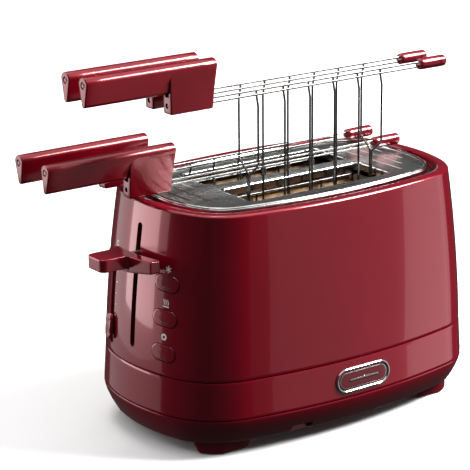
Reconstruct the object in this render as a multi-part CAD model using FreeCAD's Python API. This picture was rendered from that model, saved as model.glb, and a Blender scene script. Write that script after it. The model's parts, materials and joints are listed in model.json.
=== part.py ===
import FreeCAD, Part
import os
import math

# A two-slot toaster with two sandwich cages, in millimetres.
# X runs along the slots with the controls at -X, Z is up, and the origin is on the
# floor under the middle of the body.

V = FreeCAD.Vector
upward = V(0, 0, 1)

# Casing
body_half_length = 139.8
body_half_width = 88.3
body_top = 177.0
skirt_top = 58.0
skirt_bottom = 29.7
base_bottom = 9.0
seam_gap = 0.6
wall = 2.6
end_radius = 138.0
side_radius = 440.0
corner_radius = 55.0
skirt_taper = 1.6
shell_taper_length = 12.4
shell_taper_width = 7.2
base_tuck_length = 8.8
base_tuck_width = 10.4
spigot_height = 5.0
edge_round = 2.6
rim_width = 8.6
rim_lip_depth = 9.0
rim_lip_wall = 2.0

# Steel top plate and the black channel round it
plate_gap = 6.9
plate_sheet = 1.0
plate_skirt = 8.0
bead_width = 3.0
bead_height = 1.2
collar_thickness = 2.0
collar_clearance = 0.3
groove_half_lengths = (41.0, 29.5, 17.5)
groove_pitch = 10.6
groove_width = 1.8
groove_depth = 0.5
groove_margin = 12.5

# Bread slots and the oven behind them
slot_half_length = 64.0
slot_width = 38.8
slot_middle = slot_width / 2 + 6.7
slot_flange = 6.0
chassis_margin = 6.0
chassis_sheet = 1.0
chassis_half_width = 60.0
chassis_bottom = 22.0
chassis_top = 165.0
guard_offset = slot_width / 2 + 1.6
board_offset = guard_offset + 2.4
board_sheet = 0.8
board_bottom = 88.0
board_top = 164.0
ribbon_width = 2.0
ribbon_sheet = 0.3
ribbon_count = 9
guard_radius = 0.8
guard_wire_count = 5
reflector_offset = board_offset + 5.2
reflector_sheet = 0.8

# Lever, carriage and bread lifters
lever_height = 138.0
lever_down = 62.0
lever_up = 20.0
lever_slot_width = 5.6
lever_slot_margin = 5.0
lever_arm_sheet = 3.0
lever_arm_height = 8.0
knob_clearance = 1.5
near_wing_span = 34.0
far_wing_span = 14.0
wing_thickness = 8.0
wing_tip_height = 8.8
knob_height = 12.4
knob_rise = 5.8
socket_depth = 4.0
paddle_half_width = 10.5
paddle_reach = 29.0
paddle_height = 9.4
paddle_corner = 4.0
lifter_top = 85.0
lifter_height = 6.0
lifter_sheet = 2.0
fin_count = 5
arm_slot_width = 4.0
rod_radius = 3.0
rod_spacing = 44.0
rod_setback = 14.0
bush_height = 10.0
bush_drop = 34.0
bush_wall = 2.4
running_clearance = 0.05
spring_radius = 5.4
spring_wire = 0.8
spring_turns = 8
magnet_height = 14.0
keeper_sheet = 2.0
magnet_setback = 12.0
carriage_sheet = 1.5

# Push buttons
button_side = -33.0
button_height = 100.5
button_pitch = 25.4
button_width = 22.0
button_tall = 11.7
button_clearance = 0.4
button_proud = 0.8
button_travel = 1.8
button_flange = 1.5
button_flange_gap = 2.0
board_depth = 17.0
board_width = 32.0
board_sheet_depth = 1.6
switch_size = 6.0

# Browning slider
slider_side = 33.0
slider_low = 77.5
slider_travel = 42.0
groove_recess = 1.2
slider_groove = 7.2
slider_slot = 3.4
slider_knob_width = 11.0
slider_knob_tall = 20.0
slider_knob_proud = 2.6
slider_stem = 2.6
slider_rib_count = 5
slider_rib_pitch = 2.6
slider_rib_width = 0.8

# Badge on the skirt
badge_middle = 4.5
badge_height = 42.6
badge_width = 50.0
badge_tall = 18.6
badge_ring = 2.2
badge_proud = 1.6

# Base, feet and crumb tray
foot_length = 36.0
foot_width = 16.0
foot_flare = 5.0
foot_setback = 1.5
foot_along = 98.0
foot_across = 55.0
pad_height = 1.4
pad_inset = 2.5
notch_left = -53.0
notch_right = -36.0
notch_height = 6.4
tray_half_width = 52.0
tray_height = 4.0
tray_lip_height = 7.4
tray_sheet = 0.8
tray_floor_gap = 0.8
tray_clearance = 0.5
gland_radius = 6.0
gland_bore = 3.4
gland_across = 62.0
terminal_length = 24.0
terminal_width = 10.0
terminal_height = 12.0
terminal_well = 2.2
terminal_pitch = 7.0
screw_along = 88.0
screw_across = 46.0
screw_radius = 1.5
screw_head = 3.2

# Sandwich cages
cage_depth = 100.0
cage_seat = 184.6
cage_raise = 68.0
front_cage_shift = 4.0
cage_open_angle = 3.0
rail_offset = slot_width / 2 - 8.4
rail_spacing = 3.2
rail_radius = 0.95
wire_radius = 0.8
wire_pitch = slot_half_length * 22.5 / 64
wire_count = 6
wire_jog = 2.0
wire_jog_drop = 8.0
hook_tip = rail_offset - 5.8
hook_height = 2.5
end_wire_in = 2.4
end_wire_jog_top = 47.0
end_wire_jog_bottom = 38.0
eye_stagger = 1.15
eye_radius = 2.5
eye_wire = 0.92
pin_radius = 1.5
pin_head = 2.6
rail_left = -112.0
rail_right = 108.0
cap_left = 92.0
cap_right = 116.5
cap_radius = 4.4
bar_left = -200.0
bar_right = -94.0
bar_bottom = 9.0
bar_height = 21.0
bar_top_radius = 5.6
bar_foot_radius = 2.6
leg_left = -133.0
leg_right = -97.5
leg_bottom = -5.0
leg_thickness = 9.4
leg_screw_height = 6.0
leg_screw_radius = 1.5
hole_clearance = 0.05
fin_half_length = rail_offset - 0.5
arm_offset = rail_offset - 2.5
lifter_half_length = 2.5 * wire_pitch - 8.25


def save(shape, name):
    shape.exportStep(os.path.join("parts", name + ".step"))


def box(low, high):
    size = high.sub(low)
    return Part.makeBox(size.x, size.y, size.z, low)


def rod(start, end, radius):
    way = end.sub(start)
    return Part.makeCylinder(radius, way.Length, start, way)


def wire_run(points, radius):
    pieces = [rod(points[i], points[i + 1], radius) for i in range(len(points) - 1)]
    pieces += [Part.makeSphere(radius, point) for point in points[1:-1]]
    return pieces[0].multiFuse(pieces[1:])


def join(pieces):
    if len(pieces) == 1:
        return pieces[0]
    return pieces[0].multiFuse(pieces[1:]).removeSplitter()


def oval(half_length, half_width, shrink, z):
    """Closed outline of eight tangent arcs: two ends, two sides and four corners."""
    end = end_radius - shrink
    side = side_radius - shrink
    corner = corner_radius - shrink
    end_middle = V(half_length - end, 0, 0)
    side_middle = V(0, half_width - side, 0)
    span = side_middle.sub(end_middle)
    distance = span.Length
    near = end - corner
    far = side - corner
    along = (distance ** 2 + near ** 2 - far ** 2) / (2 * distance)
    across = math.sqrt(near ** 2 - along ** 2)
    unit = span.multiply(1 / distance)
    aside = V(-unit.y, unit.x, 0).multiply(across)
    corner_middle = end_middle.add(V(unit).multiply(along)).add(aside)
    to_end = corner_middle.sub(end_middle).normalize()
    to_side = corner_middle.sub(side_middle).normalize()
    end_point = end_middle.add(V(to_end).multiply(end))
    side_point = side_middle.add(V(to_side).multiply(side))
    corner_point = corner_middle.add(to_end.add(to_side).normalize().multiply(corner))

    def at(point, flip_x, flip_y):
        return V(point.x * flip_x, point.y * flip_y, z)

    arcs = [
        (at(end_point, 1, -1), V(half_length, 0, z), at(end_point, 1, 1)),
        (at(end_point, 1, 1), at(corner_point, 1, 1), at(side_point, 1, 1)),
        (at(side_point, 1, 1), V(0, half_width, z), at(side_point, -1, 1)),
        (at(side_point, -1, 1), at(corner_point, -1, 1), at(end_point, -1, 1)),
        (at(end_point, -1, 1), V(-half_length, 0, z), at(end_point, -1, -1)),
        (at(end_point, -1, -1), at(corner_point, -1, -1), at(side_point, -1, -1)),
        (at(side_point, -1, -1), V(0, -half_width, z), at(side_point, 1, -1)),
        (at(side_point, 1, -1), at(corner_point, 1, -1), at(end_point, 1, -1)),
    ]
    return Part.Wire([Part.Arc(*arc).toShape() for arc in arcs])


def tuck(z):
    """How far the casing at height z lies inside its widest outline, lengthwise and across."""
    if z >= skirt_top:
        rise = (z - skirt_top) / (body_top - skirt_top)
        curve = 0.4 * rise + 0.6 * rise ** 2
        return skirt_taper + shell_taper_length * curve, shell_taper_width * curve + skirt_taper
    if z >= skirt_bottom:
        taper = skirt_taper * (z - skirt_bottom) / (skirt_top - skirt_bottom)
        return taper, taper
    drop = (skirt_bottom - z) / (skirt_bottom - base_bottom)
    return base_tuck_length * drop ** 1.5, base_tuck_width * drop ** 1.5


def half_length_at(z):
    return body_half_length - tuck(z)[0]


def half_width_at(z):
    return body_half_width - tuck(z)[1]


def section(z, inset, shape_z=None):
    level = z if shape_z is None else shape_z
    length_tuck, width_tuck = tuck(level)
    return oval(body_half_length - length_tuck - inset, body_half_width - width_tuck - inset,
                width_tuck + inset, z)


def form(low, high, inset, steps=4):
    """Solid that follows the casing between two heights, inset from its surface."""
    heights = [low + (high - low) * i / steps for i in range(steps + 1)]
    return Part.makeLoft([section(z, inset) for z in heights], True, False)


def slab(low, high, inset, level):
    """Straight-walled slab with the casing's outline at one level, inset."""
    face = Part.Face(section(low, inset, level))
    return face.extrude(V(0, 0, high - low))


def ring(low, high, outer_inset, inner_inset):
    return form(low, high, outer_inset, 2).cut(form(low, high, inner_inset, 2))


def stadium(width, height, depth):
    """Prism along +X with a rounded oblong section centred on the X axis."""
    radius = min(width, height) / 2
    reach_y = width / 2 - radius
    reach_z = height / 2 - radius
    ends = [V(0, -reach_y, -reach_z), V(0, reach_y, reach_z)]
    caps = [Part.makeCylinder(radius, depth, end, V(1, 0, 0)) for end in ends]
    if width > height:
        middle = box(V(0, -reach_y, -radius), V(depth, reach_y, radius))
    else:
        middle = box(V(0, -radius, -reach_z), V(depth, radius, reach_z))
    return join([middle] + caps)


def end_surface(y, z):
    """Point on the control end's outer surface."""
    shrink = tuck(z)[1]
    radius = end_radius - shrink
    return V(radius - half_length_at(z) - math.sqrt(radius ** 2 - y ** 2), y, z)


def control_frame(y, z):
    """Placement on the control end: local +X points out of the surface, local Z runs up it."""
    origin = end_surface(y, z)
    rise = end_surface(y, z + 20).sub(end_surface(y, z - 20)).normalize()
    radius = end_radius - tuck(z)[1]
    level = V(-math.sqrt(radius ** 2 - y ** 2) / radius, y / radius, 0)
    out = level.sub(V(rise).multiply(level.dot(rise))).normalize()
    side = rise.cross(out)
    return FreeCAD.Placement(origin, FreeCAD.Rotation(out, side, rise, "XZY"))


def placed(shape, placement):
    copy = shape.copy()
    copy.Placement = placement.multiply(copy.Placement)
    return copy


shell_bottom = skirt_top + seam_gap / 2
plate_inset = rim_width + plate_gap
lip_bottom = body_top - rim_lip_depth
collar_top = lip_bottom + collar_thickness
chassis_x = slot_half_length + chassis_margin
rod_x = -chassis_x - rod_setback
carriage_x = -chassis_x - 6.0
base_floor = base_bottom + wall
button_place = control_frame(button_side, button_height)
slider_place = control_frame(slider_side, slider_low + slider_travel / 2)
bush_low = lever_height - bush_drop
lever_slot_low = lever_height - lever_down - lever_arm_height / 2 - lever_slot_margin / 2
lever_slot_high = lever_height + lever_up + lever_arm_height / 2 + lever_slot_margin / 2
lever_reach = half_length_at(lever_height - lever_down) + knob_clearance


def button_offsets():
    return [button_pitch, 0, -button_pitch]


def outer_shell():
    straight_top = body_top - edge_round
    casing = form(shell_bottom, straight_top, 0)
    bevel = [section(straight_top, 0), section(body_top - edge_round * 0.3, edge_round * 0.3, straight_top),
             section(body_top, edge_round, straight_top)]
    casing = casing.fuse(Part.makeLoft(bevel, True, True))
    hollow = form(shell_bottom - 0.5, body_top - wall, wall)
    casing = casing.cut(hollow)
    opening = slab(lip_bottom - 1, body_top + 1, rim_width, body_top)
    lip = slab(lip_bottom, body_top - wall, rim_width - rim_lip_wall, body_top)
    casing = casing.fuse(lip).cut(opening)
    return casing.cut(control_openings())


def control_openings():
    cuts = []
    slot_middle_z = (lever_slot_low + lever_slot_high) / 2
    slot = stadium(lever_slot_width, lever_slot_high - lever_slot_low, 60)
    slot.translate(V(-half_length_at(shell_bottom) - 20, 0, slot_middle_z))
    cuts.append(slot)
    for offset in button_offsets():
        hole = stadium(button_width + 2 * button_clearance, button_tall + 2 * button_clearance, 24)
        hole.translate(V(-12, 0, offset))
        cuts.append(placed(hole, button_place))
    travel_slot = stadium(slider_slot, slider_travel + 14, 24)
    travel_slot.translate(V(-12, 0, 0))
    cuts.append(placed(travel_slot, slider_place))
    recess = stadium(slider_groove, slider_travel + 26, 24)
    recess.translate(V(-12, 0, 0))
    recess = placed(recess, slider_place).cut(form(shell_bottom, body_top - edge_round, groove_recess))
    cuts.append(recess)
    return cuts[0].multiFuse(cuts[1:])


def skirt_band():
    top = skirt_top - seam_gap / 2
    band = ring(skirt_bottom + seam_gap / 2, top, 0, wall)
    spigot = ring(top - spigot_height, skirt_top + spigot_height, wall + 0.2, 2 * wall)
    weld = ring(top - spigot_height, top - 1, wall - 0.1, wall + 0.4)
    return join([band, weld, spigot])


def base_tray():
    top = skirt_bottom - seam_gap / 2
    tray = form(base_bottom, top, 0, 5).cut(form(base_floor, top + 1, wall, 5))
    spigot = ring(top - spigot_height, skirt_bottom + spigot_height, wall + 0.2, 2 * wall)
    weld = ring(top - spigot_height, top - 1, wall - 0.1, wall + 0.4)
    tray = join([tray, spigot, weld] + feet() + bosses())
    notch = box(V(notch_left, -body_half_width, base_bottom - 1),
                V(notch_right, -half_width_at(base_bottom) + 6, base_bottom + notch_height))
    lid = box(V(notch_left - 2, -half_width_at(base_bottom) + 4, base_bottom),
              V(notch_right + 2, -half_width_at(base_bottom) + 6, base_bottom + notch_height + 2))
    roof = box(V(notch_left - 2, -half_width_at(base_bottom) - 1, base_bottom + notch_height),
               V(notch_right + 2, -half_width_at(base_bottom) + 6, base_bottom + notch_height + 2))
    tray = tray.cut(notch).fuse(lid).fuse(roof)
    cuts = [tray_window(tray_clearance)]
    gland_middle = (notch_left + notch_right) / 2
    cuts.append(rod(V(gland_middle, -gland_across, 0), V(gland_middle, -gland_across, 20), gland_radius - 1))
    for x, y in screw_places():
        cuts.append(rod(V(x, y, base_bottom - 1), V(x, y, base_floor - 0.8), screw_head + 0.3))
        cuts.append(rod(V(x, y, base_bottom), V(x, y, chassis_bottom + 1), screw_radius + hole_clearance))
    return tray.cut(cuts[0].multiFuse(cuts[1:]))


def corner_places(x, y):
    return [(-x, -y), (x, -y), (-x, y), (x, y)]


def screw_places():
    return corner_places(screw_along, screw_across + 16)


def feet():
    blocks = []
    for x, y in corner_places(foot_along, foot_across):
        low = foot_face(x, y, 0, pad_height - 0.2)
        high = foot_face(x, y, foot_flare, base_bottom + 0.5)
        blocks.append(Part.makeLoft([low, high], True, True))
    outline = slab(0, base_bottom + 1, foot_setback, base_bottom)
    return [block.common(outline) for block in blocks]


def foot_face(x, y, grow, z):
    half_x = (foot_length + grow) / 2
    half_y = (foot_width + grow) / 2
    corners = [V(x - half_x, y - half_y, z), V(x + half_x, y - half_y, z),
               V(x + half_x, y + half_y, z), V(x - half_x, y + half_y, z)]
    return Part.makePolygon(corners + corners[:1])


def foot_pads():
    pads = []
    for x, y in corner_places(foot_along, foot_across):
        wire = foot_face(x, y, -2 * pad_inset, 0)
        pads.append(Part.Face(wire).extrude(V(0, 0, pad_height - 0.2)))
    outline = slab(0, base_bottom, foot_setback + pad_inset, base_bottom)
    return Part.makeCompound([pad.common(outline) for pad in pads])


def bosses():
    """Pillars on the base floor that carry the oven's end plates, the rods and the screws."""
    made = []
    for x in (-chassis_x, chassis_x):
        for y in (-1, 1):
            edge = sorted((y * (tray_half_width + 3), y * chassis_half_width))
            made.append(box(V(x - 2, edge[0], base_bottom + 1), V(x + 2, edge[1], chassis_bottom)))
    for y in (-rod_spacing / 2, rod_spacing / 2):
        made.append(rod(V(rod_x, y, base_bottom + 1), V(rod_x, y, chassis_bottom), rod_radius + 2))
    for x, y in screw_places():
        made.append(rod(V(x, y, base_bottom + 1), V(x, y, chassis_bottom), screw_head + 1))
    return made


def base_screws():
    screws = []
    for x, y in screw_places():
        head = rod(V(x, y, base_bottom + 0.4), V(x, y, base_floor - 0.8), screw_head)
        shank = rod(V(x, y, base_floor - 0.8), V(x, y, chassis_bottom - 1), screw_radius)
        screws.append(head.fuse(shank))
    return Part.makeCompound(screws)


def tray_window(clearance):
    low = V(0, -tray_half_width - clearance, base_floor - 0.01)
    top = base_floor + tray_floor_gap + tray_lip_height + clearance
    high = V(body_half_length + 5, tray_half_width + clearance, top)
    return box(low, high)


def crumb_tray():
    inner_end = -chassis_x + 4
    outer_end = half_length_at(base_bottom) - wall - 3
    bottom = base_floor + tray_floor_gap
    pan = box(V(inner_end, -tray_half_width, bottom), V(outer_end, tray_half_width, bottom + tray_height))
    hollow = box(V(inner_end + tray_sheet, -tray_half_width + tray_sheet, bottom + tray_sheet),
                 V(outer_end - tray_sheet, tray_half_width - tray_sheet, bottom + tray_height + 1))
    pan = pan.cut(hollow)
    lip_low = V(0, -tray_half_width, bottom)
    lip_high = V(body_half_length + 5, tray_half_width, bottom + tray_lip_height)
    casing = form(base_bottom, skirt_bottom, 0, 5)
    lip = casing.cut(form(base_bottom, skirt_bottom, wall, 5)).common(box(lip_low, lip_high))
    link = box(V(outer_end - 1, -12, bottom), V(half_length_at(bottom) - 1, 12, bottom + 2))
    return join([pan, lip, link])


def cord_gland():
    middle = V((notch_left + notch_right) / 2, -gland_across, 0)
    flange = rod(middle.add(V(0, 0, base_floor)), middle.add(V(0, 0, base_floor + 2)), gland_radius + 1)
    neck = rod(middle.add(V(0, 0, base_bottom - 3)), middle.add(V(0, 0, base_floor)), gland_radius - 1.1)
    bore = rod(middle, middle.add(V(0, 0, 30)), gland_bore)
    return flange.fuse(neck).cut(bore)


def terminal_block():
    middle = (notch_left + notch_right) / 2 + 26
    corner = V(middle - terminal_length / 2, -gland_across - terminal_width / 2, base_floor)
    block = box(corner, corner.add(V(terminal_length, terminal_width, terminal_height)))
    wells = []
    for x in (middle - terminal_pitch, middle, middle + terminal_pitch):
        foot = V(x, -gland_across, base_floor + terminal_height / 2)
        wells.append(rod(foot, foot.add(V(0, 0, terminal_height)), terminal_well))
    return block.cut(wells[0].multiFuse(wells[1:]))


def badge(width, tall, proud):
    zone = stadium(width, tall, 30)
    zone.rotate(V(0, 0, 0), upward, -90)
    zone.translate(V(badge_middle, -body_half_width + 15, badge_height))
    skirt_low = skirt_bottom + seam_gap
    skirt_high = skirt_top - seam_gap
    return zone.common(form(skirt_low, skirt_high, -proud, 2)).cut(form(skirt_low, skirt_high, 0, 2))


def badge_frame():
    inner = badge(badge_width - 2 * badge_ring, badge_tall - 2 * badge_ring, badge_proud + 1)
    return badge(badge_width, badge_tall, badge_proud).cut(inner)


def badge_plate():
    gap = 2 * badge_ring + 0.1
    return badge(badge_width - gap, badge_tall - gap, badge_proud / 2)


def top_collar():
    outer = rim_width + collar_clearance
    inner = plate_inset + plate_sheet + collar_clearance
    hole = slab(lip_bottom, collar_top, inner + 4, body_top)
    return slab(lip_bottom, collar_top, outer, body_top).cut(hole)


def slot_boxes(low, high, grow):
    reach = slot_half_length + grow
    half = slot_width / 2 + grow
    return [box(V(-reach, y - half, low), V(reach, y + half, high)) for y in (-slot_middle, slot_middle)]


def top_plate():
    top = body_top
    sheet_low = top - plate_sheet
    plate = slab(sheet_low - plate_skirt + 2.2, top, plate_inset, body_top)
    plate = plate.cut(slab(sheet_low - plate_skirt - 1, sheet_low, plate_inset + plate_sheet, body_top))
    bead = slab(top, top + bead_height, plate_inset + 0.6, body_top)
    bead = bead.cut(slab(top, top + bead_height, plate_inset + bead_width, body_top))
    flanges = slot_boxes(top - slot_flange, top, plate_sheet)
    plate = plate.fuse(flanges[0]).fuse(flanges[1]).fuse(bead)
    holes = slot_boxes(top - slot_flange - 1, top + 1, 0)
    plate = plate.cut(holes[0]).cut(holes[1])
    return plate.cut(plate_grooves())


def plate_grooves():
    cuts = []
    for i, half in enumerate(groove_half_lengths):
        for side in (-1, 1):
            x = side * (slot_half_length + groove_margin + i * groove_pitch)
            groove = box(V(x - groove_width / 2, -half, body_top - groove_depth),
                         V(x + groove_width / 2, half, body_top + 0.1))
            cuts.append(groove)
    return cuts[0].multiFuse(cuts[1:])


def chassis_plate(side):
    x = side * chassis_x
    low = V(x - chassis_sheet / 2, -chassis_half_width, chassis_bottom)
    return box(low, low.add(V(chassis_sheet, 2 * chassis_half_width, chassis_top - chassis_bottom)))


def chassis_plate_control():
    cuts = []
    travel_low = lifter_top - lifter_height - lever_down - 1
    travel_high = lifter_top + lever_up + 2
    for y in beside_slots(arm_offset):
        cuts.append(box(V(-chassis_x - 2, y - arm_slot_width / 2, max(travel_low, chassis_bottom - 1)),
                        V(-chassis_x + 2, y + arm_slot_width / 2, travel_high)))
    return chassis_plate(-1).cut(cuts[0].multiFuse(cuts[1:]))


def beside_slots(offset):
    """Y of the four lines that run at one offset on both sides of both slots."""
    return [middle + way * offset for middle in (-slot_middle, slot_middle) for way in (-1, 1)]


def reflector(side):
    y = side * (slot_middle + reflector_offset)
    reach = chassis_x - chassis_sheet
    half = reflector_sheet / 2
    return box(V(-reach, y - half, chassis_bottom + 4), V(reach, y + half, chassis_top - 1))


def element_board(y):
    reach = slot_half_length - 1
    return box(V(-reach, y - board_sheet / 2, board_bottom), V(reach, y + board_sheet / 2, board_top))


def element_winding(y):
    """Flat ribbon that zigzags over the face of the board that looks at the bread."""
    middle = slot_middle if y > 0 else -slot_middle
    face = y + math.copysign(board_sheet / 2, middle - y)
    edge = sorted((face, face + math.copysign(ribbon_sheet, middle - y)))
    reach = slot_half_length - 4
    pitch = (board_top - board_bottom - 8) / (ribbon_count - 1)
    strips = []
    for i in range(ribbon_count):
        z = board_bottom + 4 + i * pitch
        strips.append(box(V(-reach, edge[0], z - ribbon_width / 2), V(reach, edge[1], z + ribbon_width / 2)))
        if i:
            turn = reach if i % 2 else -reach
            ends = sorted((turn, turn - math.copysign(ribbon_width, turn)))
            strips.append(box(V(ends[0], edge[0], z - pitch), V(ends[1], edge[1], z)))
    return join(strips)


def guard_wires(middle):
    """Two ladders of wire that keep the bread off the elements."""
    ladders = []
    reach = slot_half_length - 4
    for offset in (-guard_offset, guard_offset):
        y = middle + offset
        low = board_bottom - 2
        high = body_top - slot_flange - 3
        runs = [rod(V(-chassis_x + 1, y, z), V(chassis_x - 1, y, z), guard_radius) for z in (low, high)]
        for i in range(guard_wire_count):
            x = -reach + 2 * reach * i / (guard_wire_count - 1)
            runs.append(rod(V(x, y, low), V(x, y, high), guard_radius))
        ladders.append(join(runs))
    return Part.makeCompound(ladders)


def guide_rods():
    top = chassis_top - 2
    rods = []
    for y in (-rod_spacing / 2, rod_spacing / 2):
        rods.append(rod(V(rod_x, y, chassis_bottom), V(rod_x, y, top), rod_radius))
    return Part.makeCompound(rods)


def rod_bracket():
    low = V(rod_x - rod_radius - 3, -rod_spacing / 2 - 8, chassis_top - 2)
    return box(low, V(-chassis_x - chassis_sheet / 2, rod_spacing / 2 + 8, chassis_top - 0.5))


def return_spring():
    low = chassis_bottom + spring_wire + 0.1
    high = bush_low - spring_wire - 0.1
    helix = Part.makeHelix((high - low) / spring_turns, high - low, spring_radius)
    profile = Part.Wire([Part.makeCircle(spring_wire, V(spring_radius, 0, 0), V(0, 1, 0))])
    coil = Part.Wire(helix.Edges).makePipeShell([profile], True, True)
    coil.translate(V(rod_x, rod_spacing / 2, low))
    return coil


def electromagnet():
    middle = rod_x - magnet_setback
    core = box(V(middle - 4, -4, base_floor), V(middle + 4, 4, base_floor + magnet_height + 8))
    coil = rod(V(middle, 0, base_floor + 3), V(middle, 0, base_floor + magnet_height + 5), 8)
    return core.fuse(coil)


def keeper_plate():
    middle = rod_x - magnet_setback
    z = base_floor + magnet_height + 8 + lever_down + 0.3
    return box(V(middle - 7, -6, z), V(carriage_x - carriage_sheet, 6, z + keeper_sheet))


def carriage_bracket():
    """Sheet that rides on the two rods and carries both lifters, the keeper and the lever arm."""
    half = slot_middle + arm_offset + 5
    low = lifter_top - lifter_height - 2
    sheet = box(V(carriage_x - carriage_sheet, -half, low), V(carriage_x, half, lifter_top + 3))
    tongue = box(V(carriage_x - carriage_sheet, -rod_spacing / 2 - 6, low),
                 V(carriage_x, rod_spacing / 2 + 6, lever_height + lever_arm_height / 2 + 0.5))
    pieces = [sheet, tongue]
    for y in (-rod_spacing / 2, rod_spacing / 2):
        for z in (bush_low, lever_height - 8):
            around = rod_radius + bush_wall
            pieces.append(rod(V(rod_x, y, z), V(rod_x, y, z + bush_height), around))
            pieces.append(box(V(rod_x, y - around, z), V(carriage_x, y + around, z + bush_height)))
    bracket = join(pieces)
    bores = [rod(V(rod_x, y, low), V(rod_x, y, lever_height + 40), rod_radius + running_clearance)
             for y in (-rod_spacing / 2, rod_spacing / 2)]
    return bracket.cut(bores[0].fuse(bores[1]))


def lifter(middle, shift):
    """Thin blade with cross fins that pass between the hooks of a cage, on two side arms."""
    low = lifter_top - lifter_height
    blade = lifter_sheet / 2
    reach = lifter_half_length
    pieces = [box(V(shift - reach, middle - blade, low), V(shift + reach, middle + blade, lifter_top))]
    near = shift - (fin_count - 1) / 2 * wire_pitch
    for i in range(fin_count):
        x = near + i * wire_pitch
        fin_low = V(x - blade, middle - fin_half_length, low)
        pieces.append(box(fin_low, V(x + blade, middle + fin_half_length, lifter_top)))
    for y in (middle - arm_offset, middle + arm_offset):
        pieces.append(box(V(carriage_x, y - blade, low), V(near, y + blade, lifter_top)))
    return join(pieces)


def lever_arm():
    low = lever_height - lever_arm_height / 2
    half = lever_arm_sheet / 2
    high = low + lever_arm_height
    return box(V(-lever_reach - socket_depth, -half, low), V(carriage_x - carriage_sheet, half, high))


def lever_knob():
    """Two curved wings along the casing and a paddle that sticks out between them."""
    top = lever_height + knob_rise
    low = top - knob_height
    inner = end_radius + lever_reach - half_length_at(lever_height - lever_down)
    centre_x = inner - lever_reach
    disc = Part.makeCylinder(inner + wing_thickness, knob_height, V(centre_x, 0, low))
    disc = disc.cut(Part.makeCylinder(inner, knob_height + 2, V(centre_x, 0, low - 1)))
    front = -lever_reach - wing_thickness - 1
    profile = [V(front, -near_wing_span, top), V(front, -near_wing_span, top - wing_tip_height),
               V(front, -paddle_half_width, low), V(front, paddle_half_width, low),
               V(front, far_wing_span, top - wing_tip_height), V(front, far_wing_span, top)]
    outline = Part.Face(Part.makePolygon(profile + profile[:1]))
    wings = outline.extrude(V(wing_thickness + 12, 0, 0)).common(disc)
    tip = -lever_reach - paddle_reach
    paddle_low = V(tip, -paddle_half_width, top - paddle_height)
    paddle = box(paddle_low, V(-lever_reach - 2, paddle_half_width, top))
    uprights = []
    for edge in paddle.Edges:
        if abs(edge.tangentAt(edge.FirstParameter).z) > 0.9 and edge.CenterOfMass.x < tip + 1:
            uprights.append(edge)
    paddle = paddle.makeFillet(paddle_corner, uprights)
    half_y = lever_arm_sheet / 2 + hole_clearance
    half_z = lever_arm_height / 2 + hole_clearance
    socket = box(V(-lever_reach - socket_depth - 0.1, -half_y, lever_height - half_z),
                 V(-lever_reach + 10, half_y, lever_height + half_z))
    return join([wings, paddle]).cut(socket)


def push_button(offset):
    """Cap, flange behind the casing and the plunger that meets the switch."""
    seat = -wall - button_flange_gap
    behind = seat - button_flange
    cap = stadium(button_width, button_tall, 24)
    cap.translate(V(seat, 0, offset))
    cap = placed(cap, button_place).common(form(shell_bottom, body_top - edge_round, -button_proud))
    flange = stadium(button_width + 3, button_tall + 3, button_flange)
    flange.translate(V(behind, 0, offset))
    flange = placed(flange, button_place).common(form(shell_bottom, body_top - edge_round, wall + 0.3))
    end = -board_depth + switch_size + button_travel + 0.3
    plunger = rod(V(end, 0, offset), V(behind, 0, offset), 2)
    return join([cap, flange, placed(plunger, button_place)])


def control_board():
    half_y = board_width / 2
    half_z = button_pitch + 14
    sheet = box(V(-board_depth - board_sheet_depth, -half_y, -half_z), V(-board_depth, half_y, half_z))
    return placed(sheet, button_place)


def switch_group():
    half = switch_size / 2
    made = []
    for z in button_offsets():
        switch = box(V(-board_depth, -half, z - half), V(-board_depth + switch_size, half, z + half))
        made.append(placed(switch, button_place))
    return Part.makeCompound(made)


def browning_knob():
    """Ribbed oval cap with a stem that runs in the slot behind it."""
    low = -slider_travel / 2
    cap = stadium(slider_knob_width, slider_knob_tall, slider_knob_proud)
    cap.translate(V(0.8, 0, low))
    half = slider_rib_width / 2
    ribs = []
    for i in range(slider_rib_count):
        z = low + (i - (slider_rib_count - 1) / 2) * slider_rib_pitch
        rib_low = V(slider_knob_proud + 0.3, -slider_knob_width, z - half)
        ribs.append(box(rib_low, V(slider_knob_proud + 2, slider_knob_width, z + half)))
    cap = cap.cut(ribs[0].multiFuse(ribs[1:]))
    stem = box(V(-11, -slider_stem / 2, low - 4), V(1, slider_stem / 2, low + 4))
    return placed(cap.fuse(stem), slider_place)


def slider_track():
    half = slider_travel / 2 + 9
    track = box(V(-16, -6, -half), V(-9, 6, half))
    groove = box(V(-12, -slider_slot / 2, -half + 3), V(-8, slider_slot / 2, half - 3))
    return placed(track.cut(groove), slider_place)


def cage_place(middle, shift, raised, side, angle):
    """Placement of one cage half: its pivot line is the local X axis."""
    pivot = V(shift, middle, cage_seat - cage_depth + raised)
    return FreeCAD.Placement(pivot, FreeCAD.Rotation(V(1, 0, 0), -side * angle))


def rail_levels():
    return [cage_depth - rail_spacing / 2, cage_depth + rail_spacing / 2]


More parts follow.
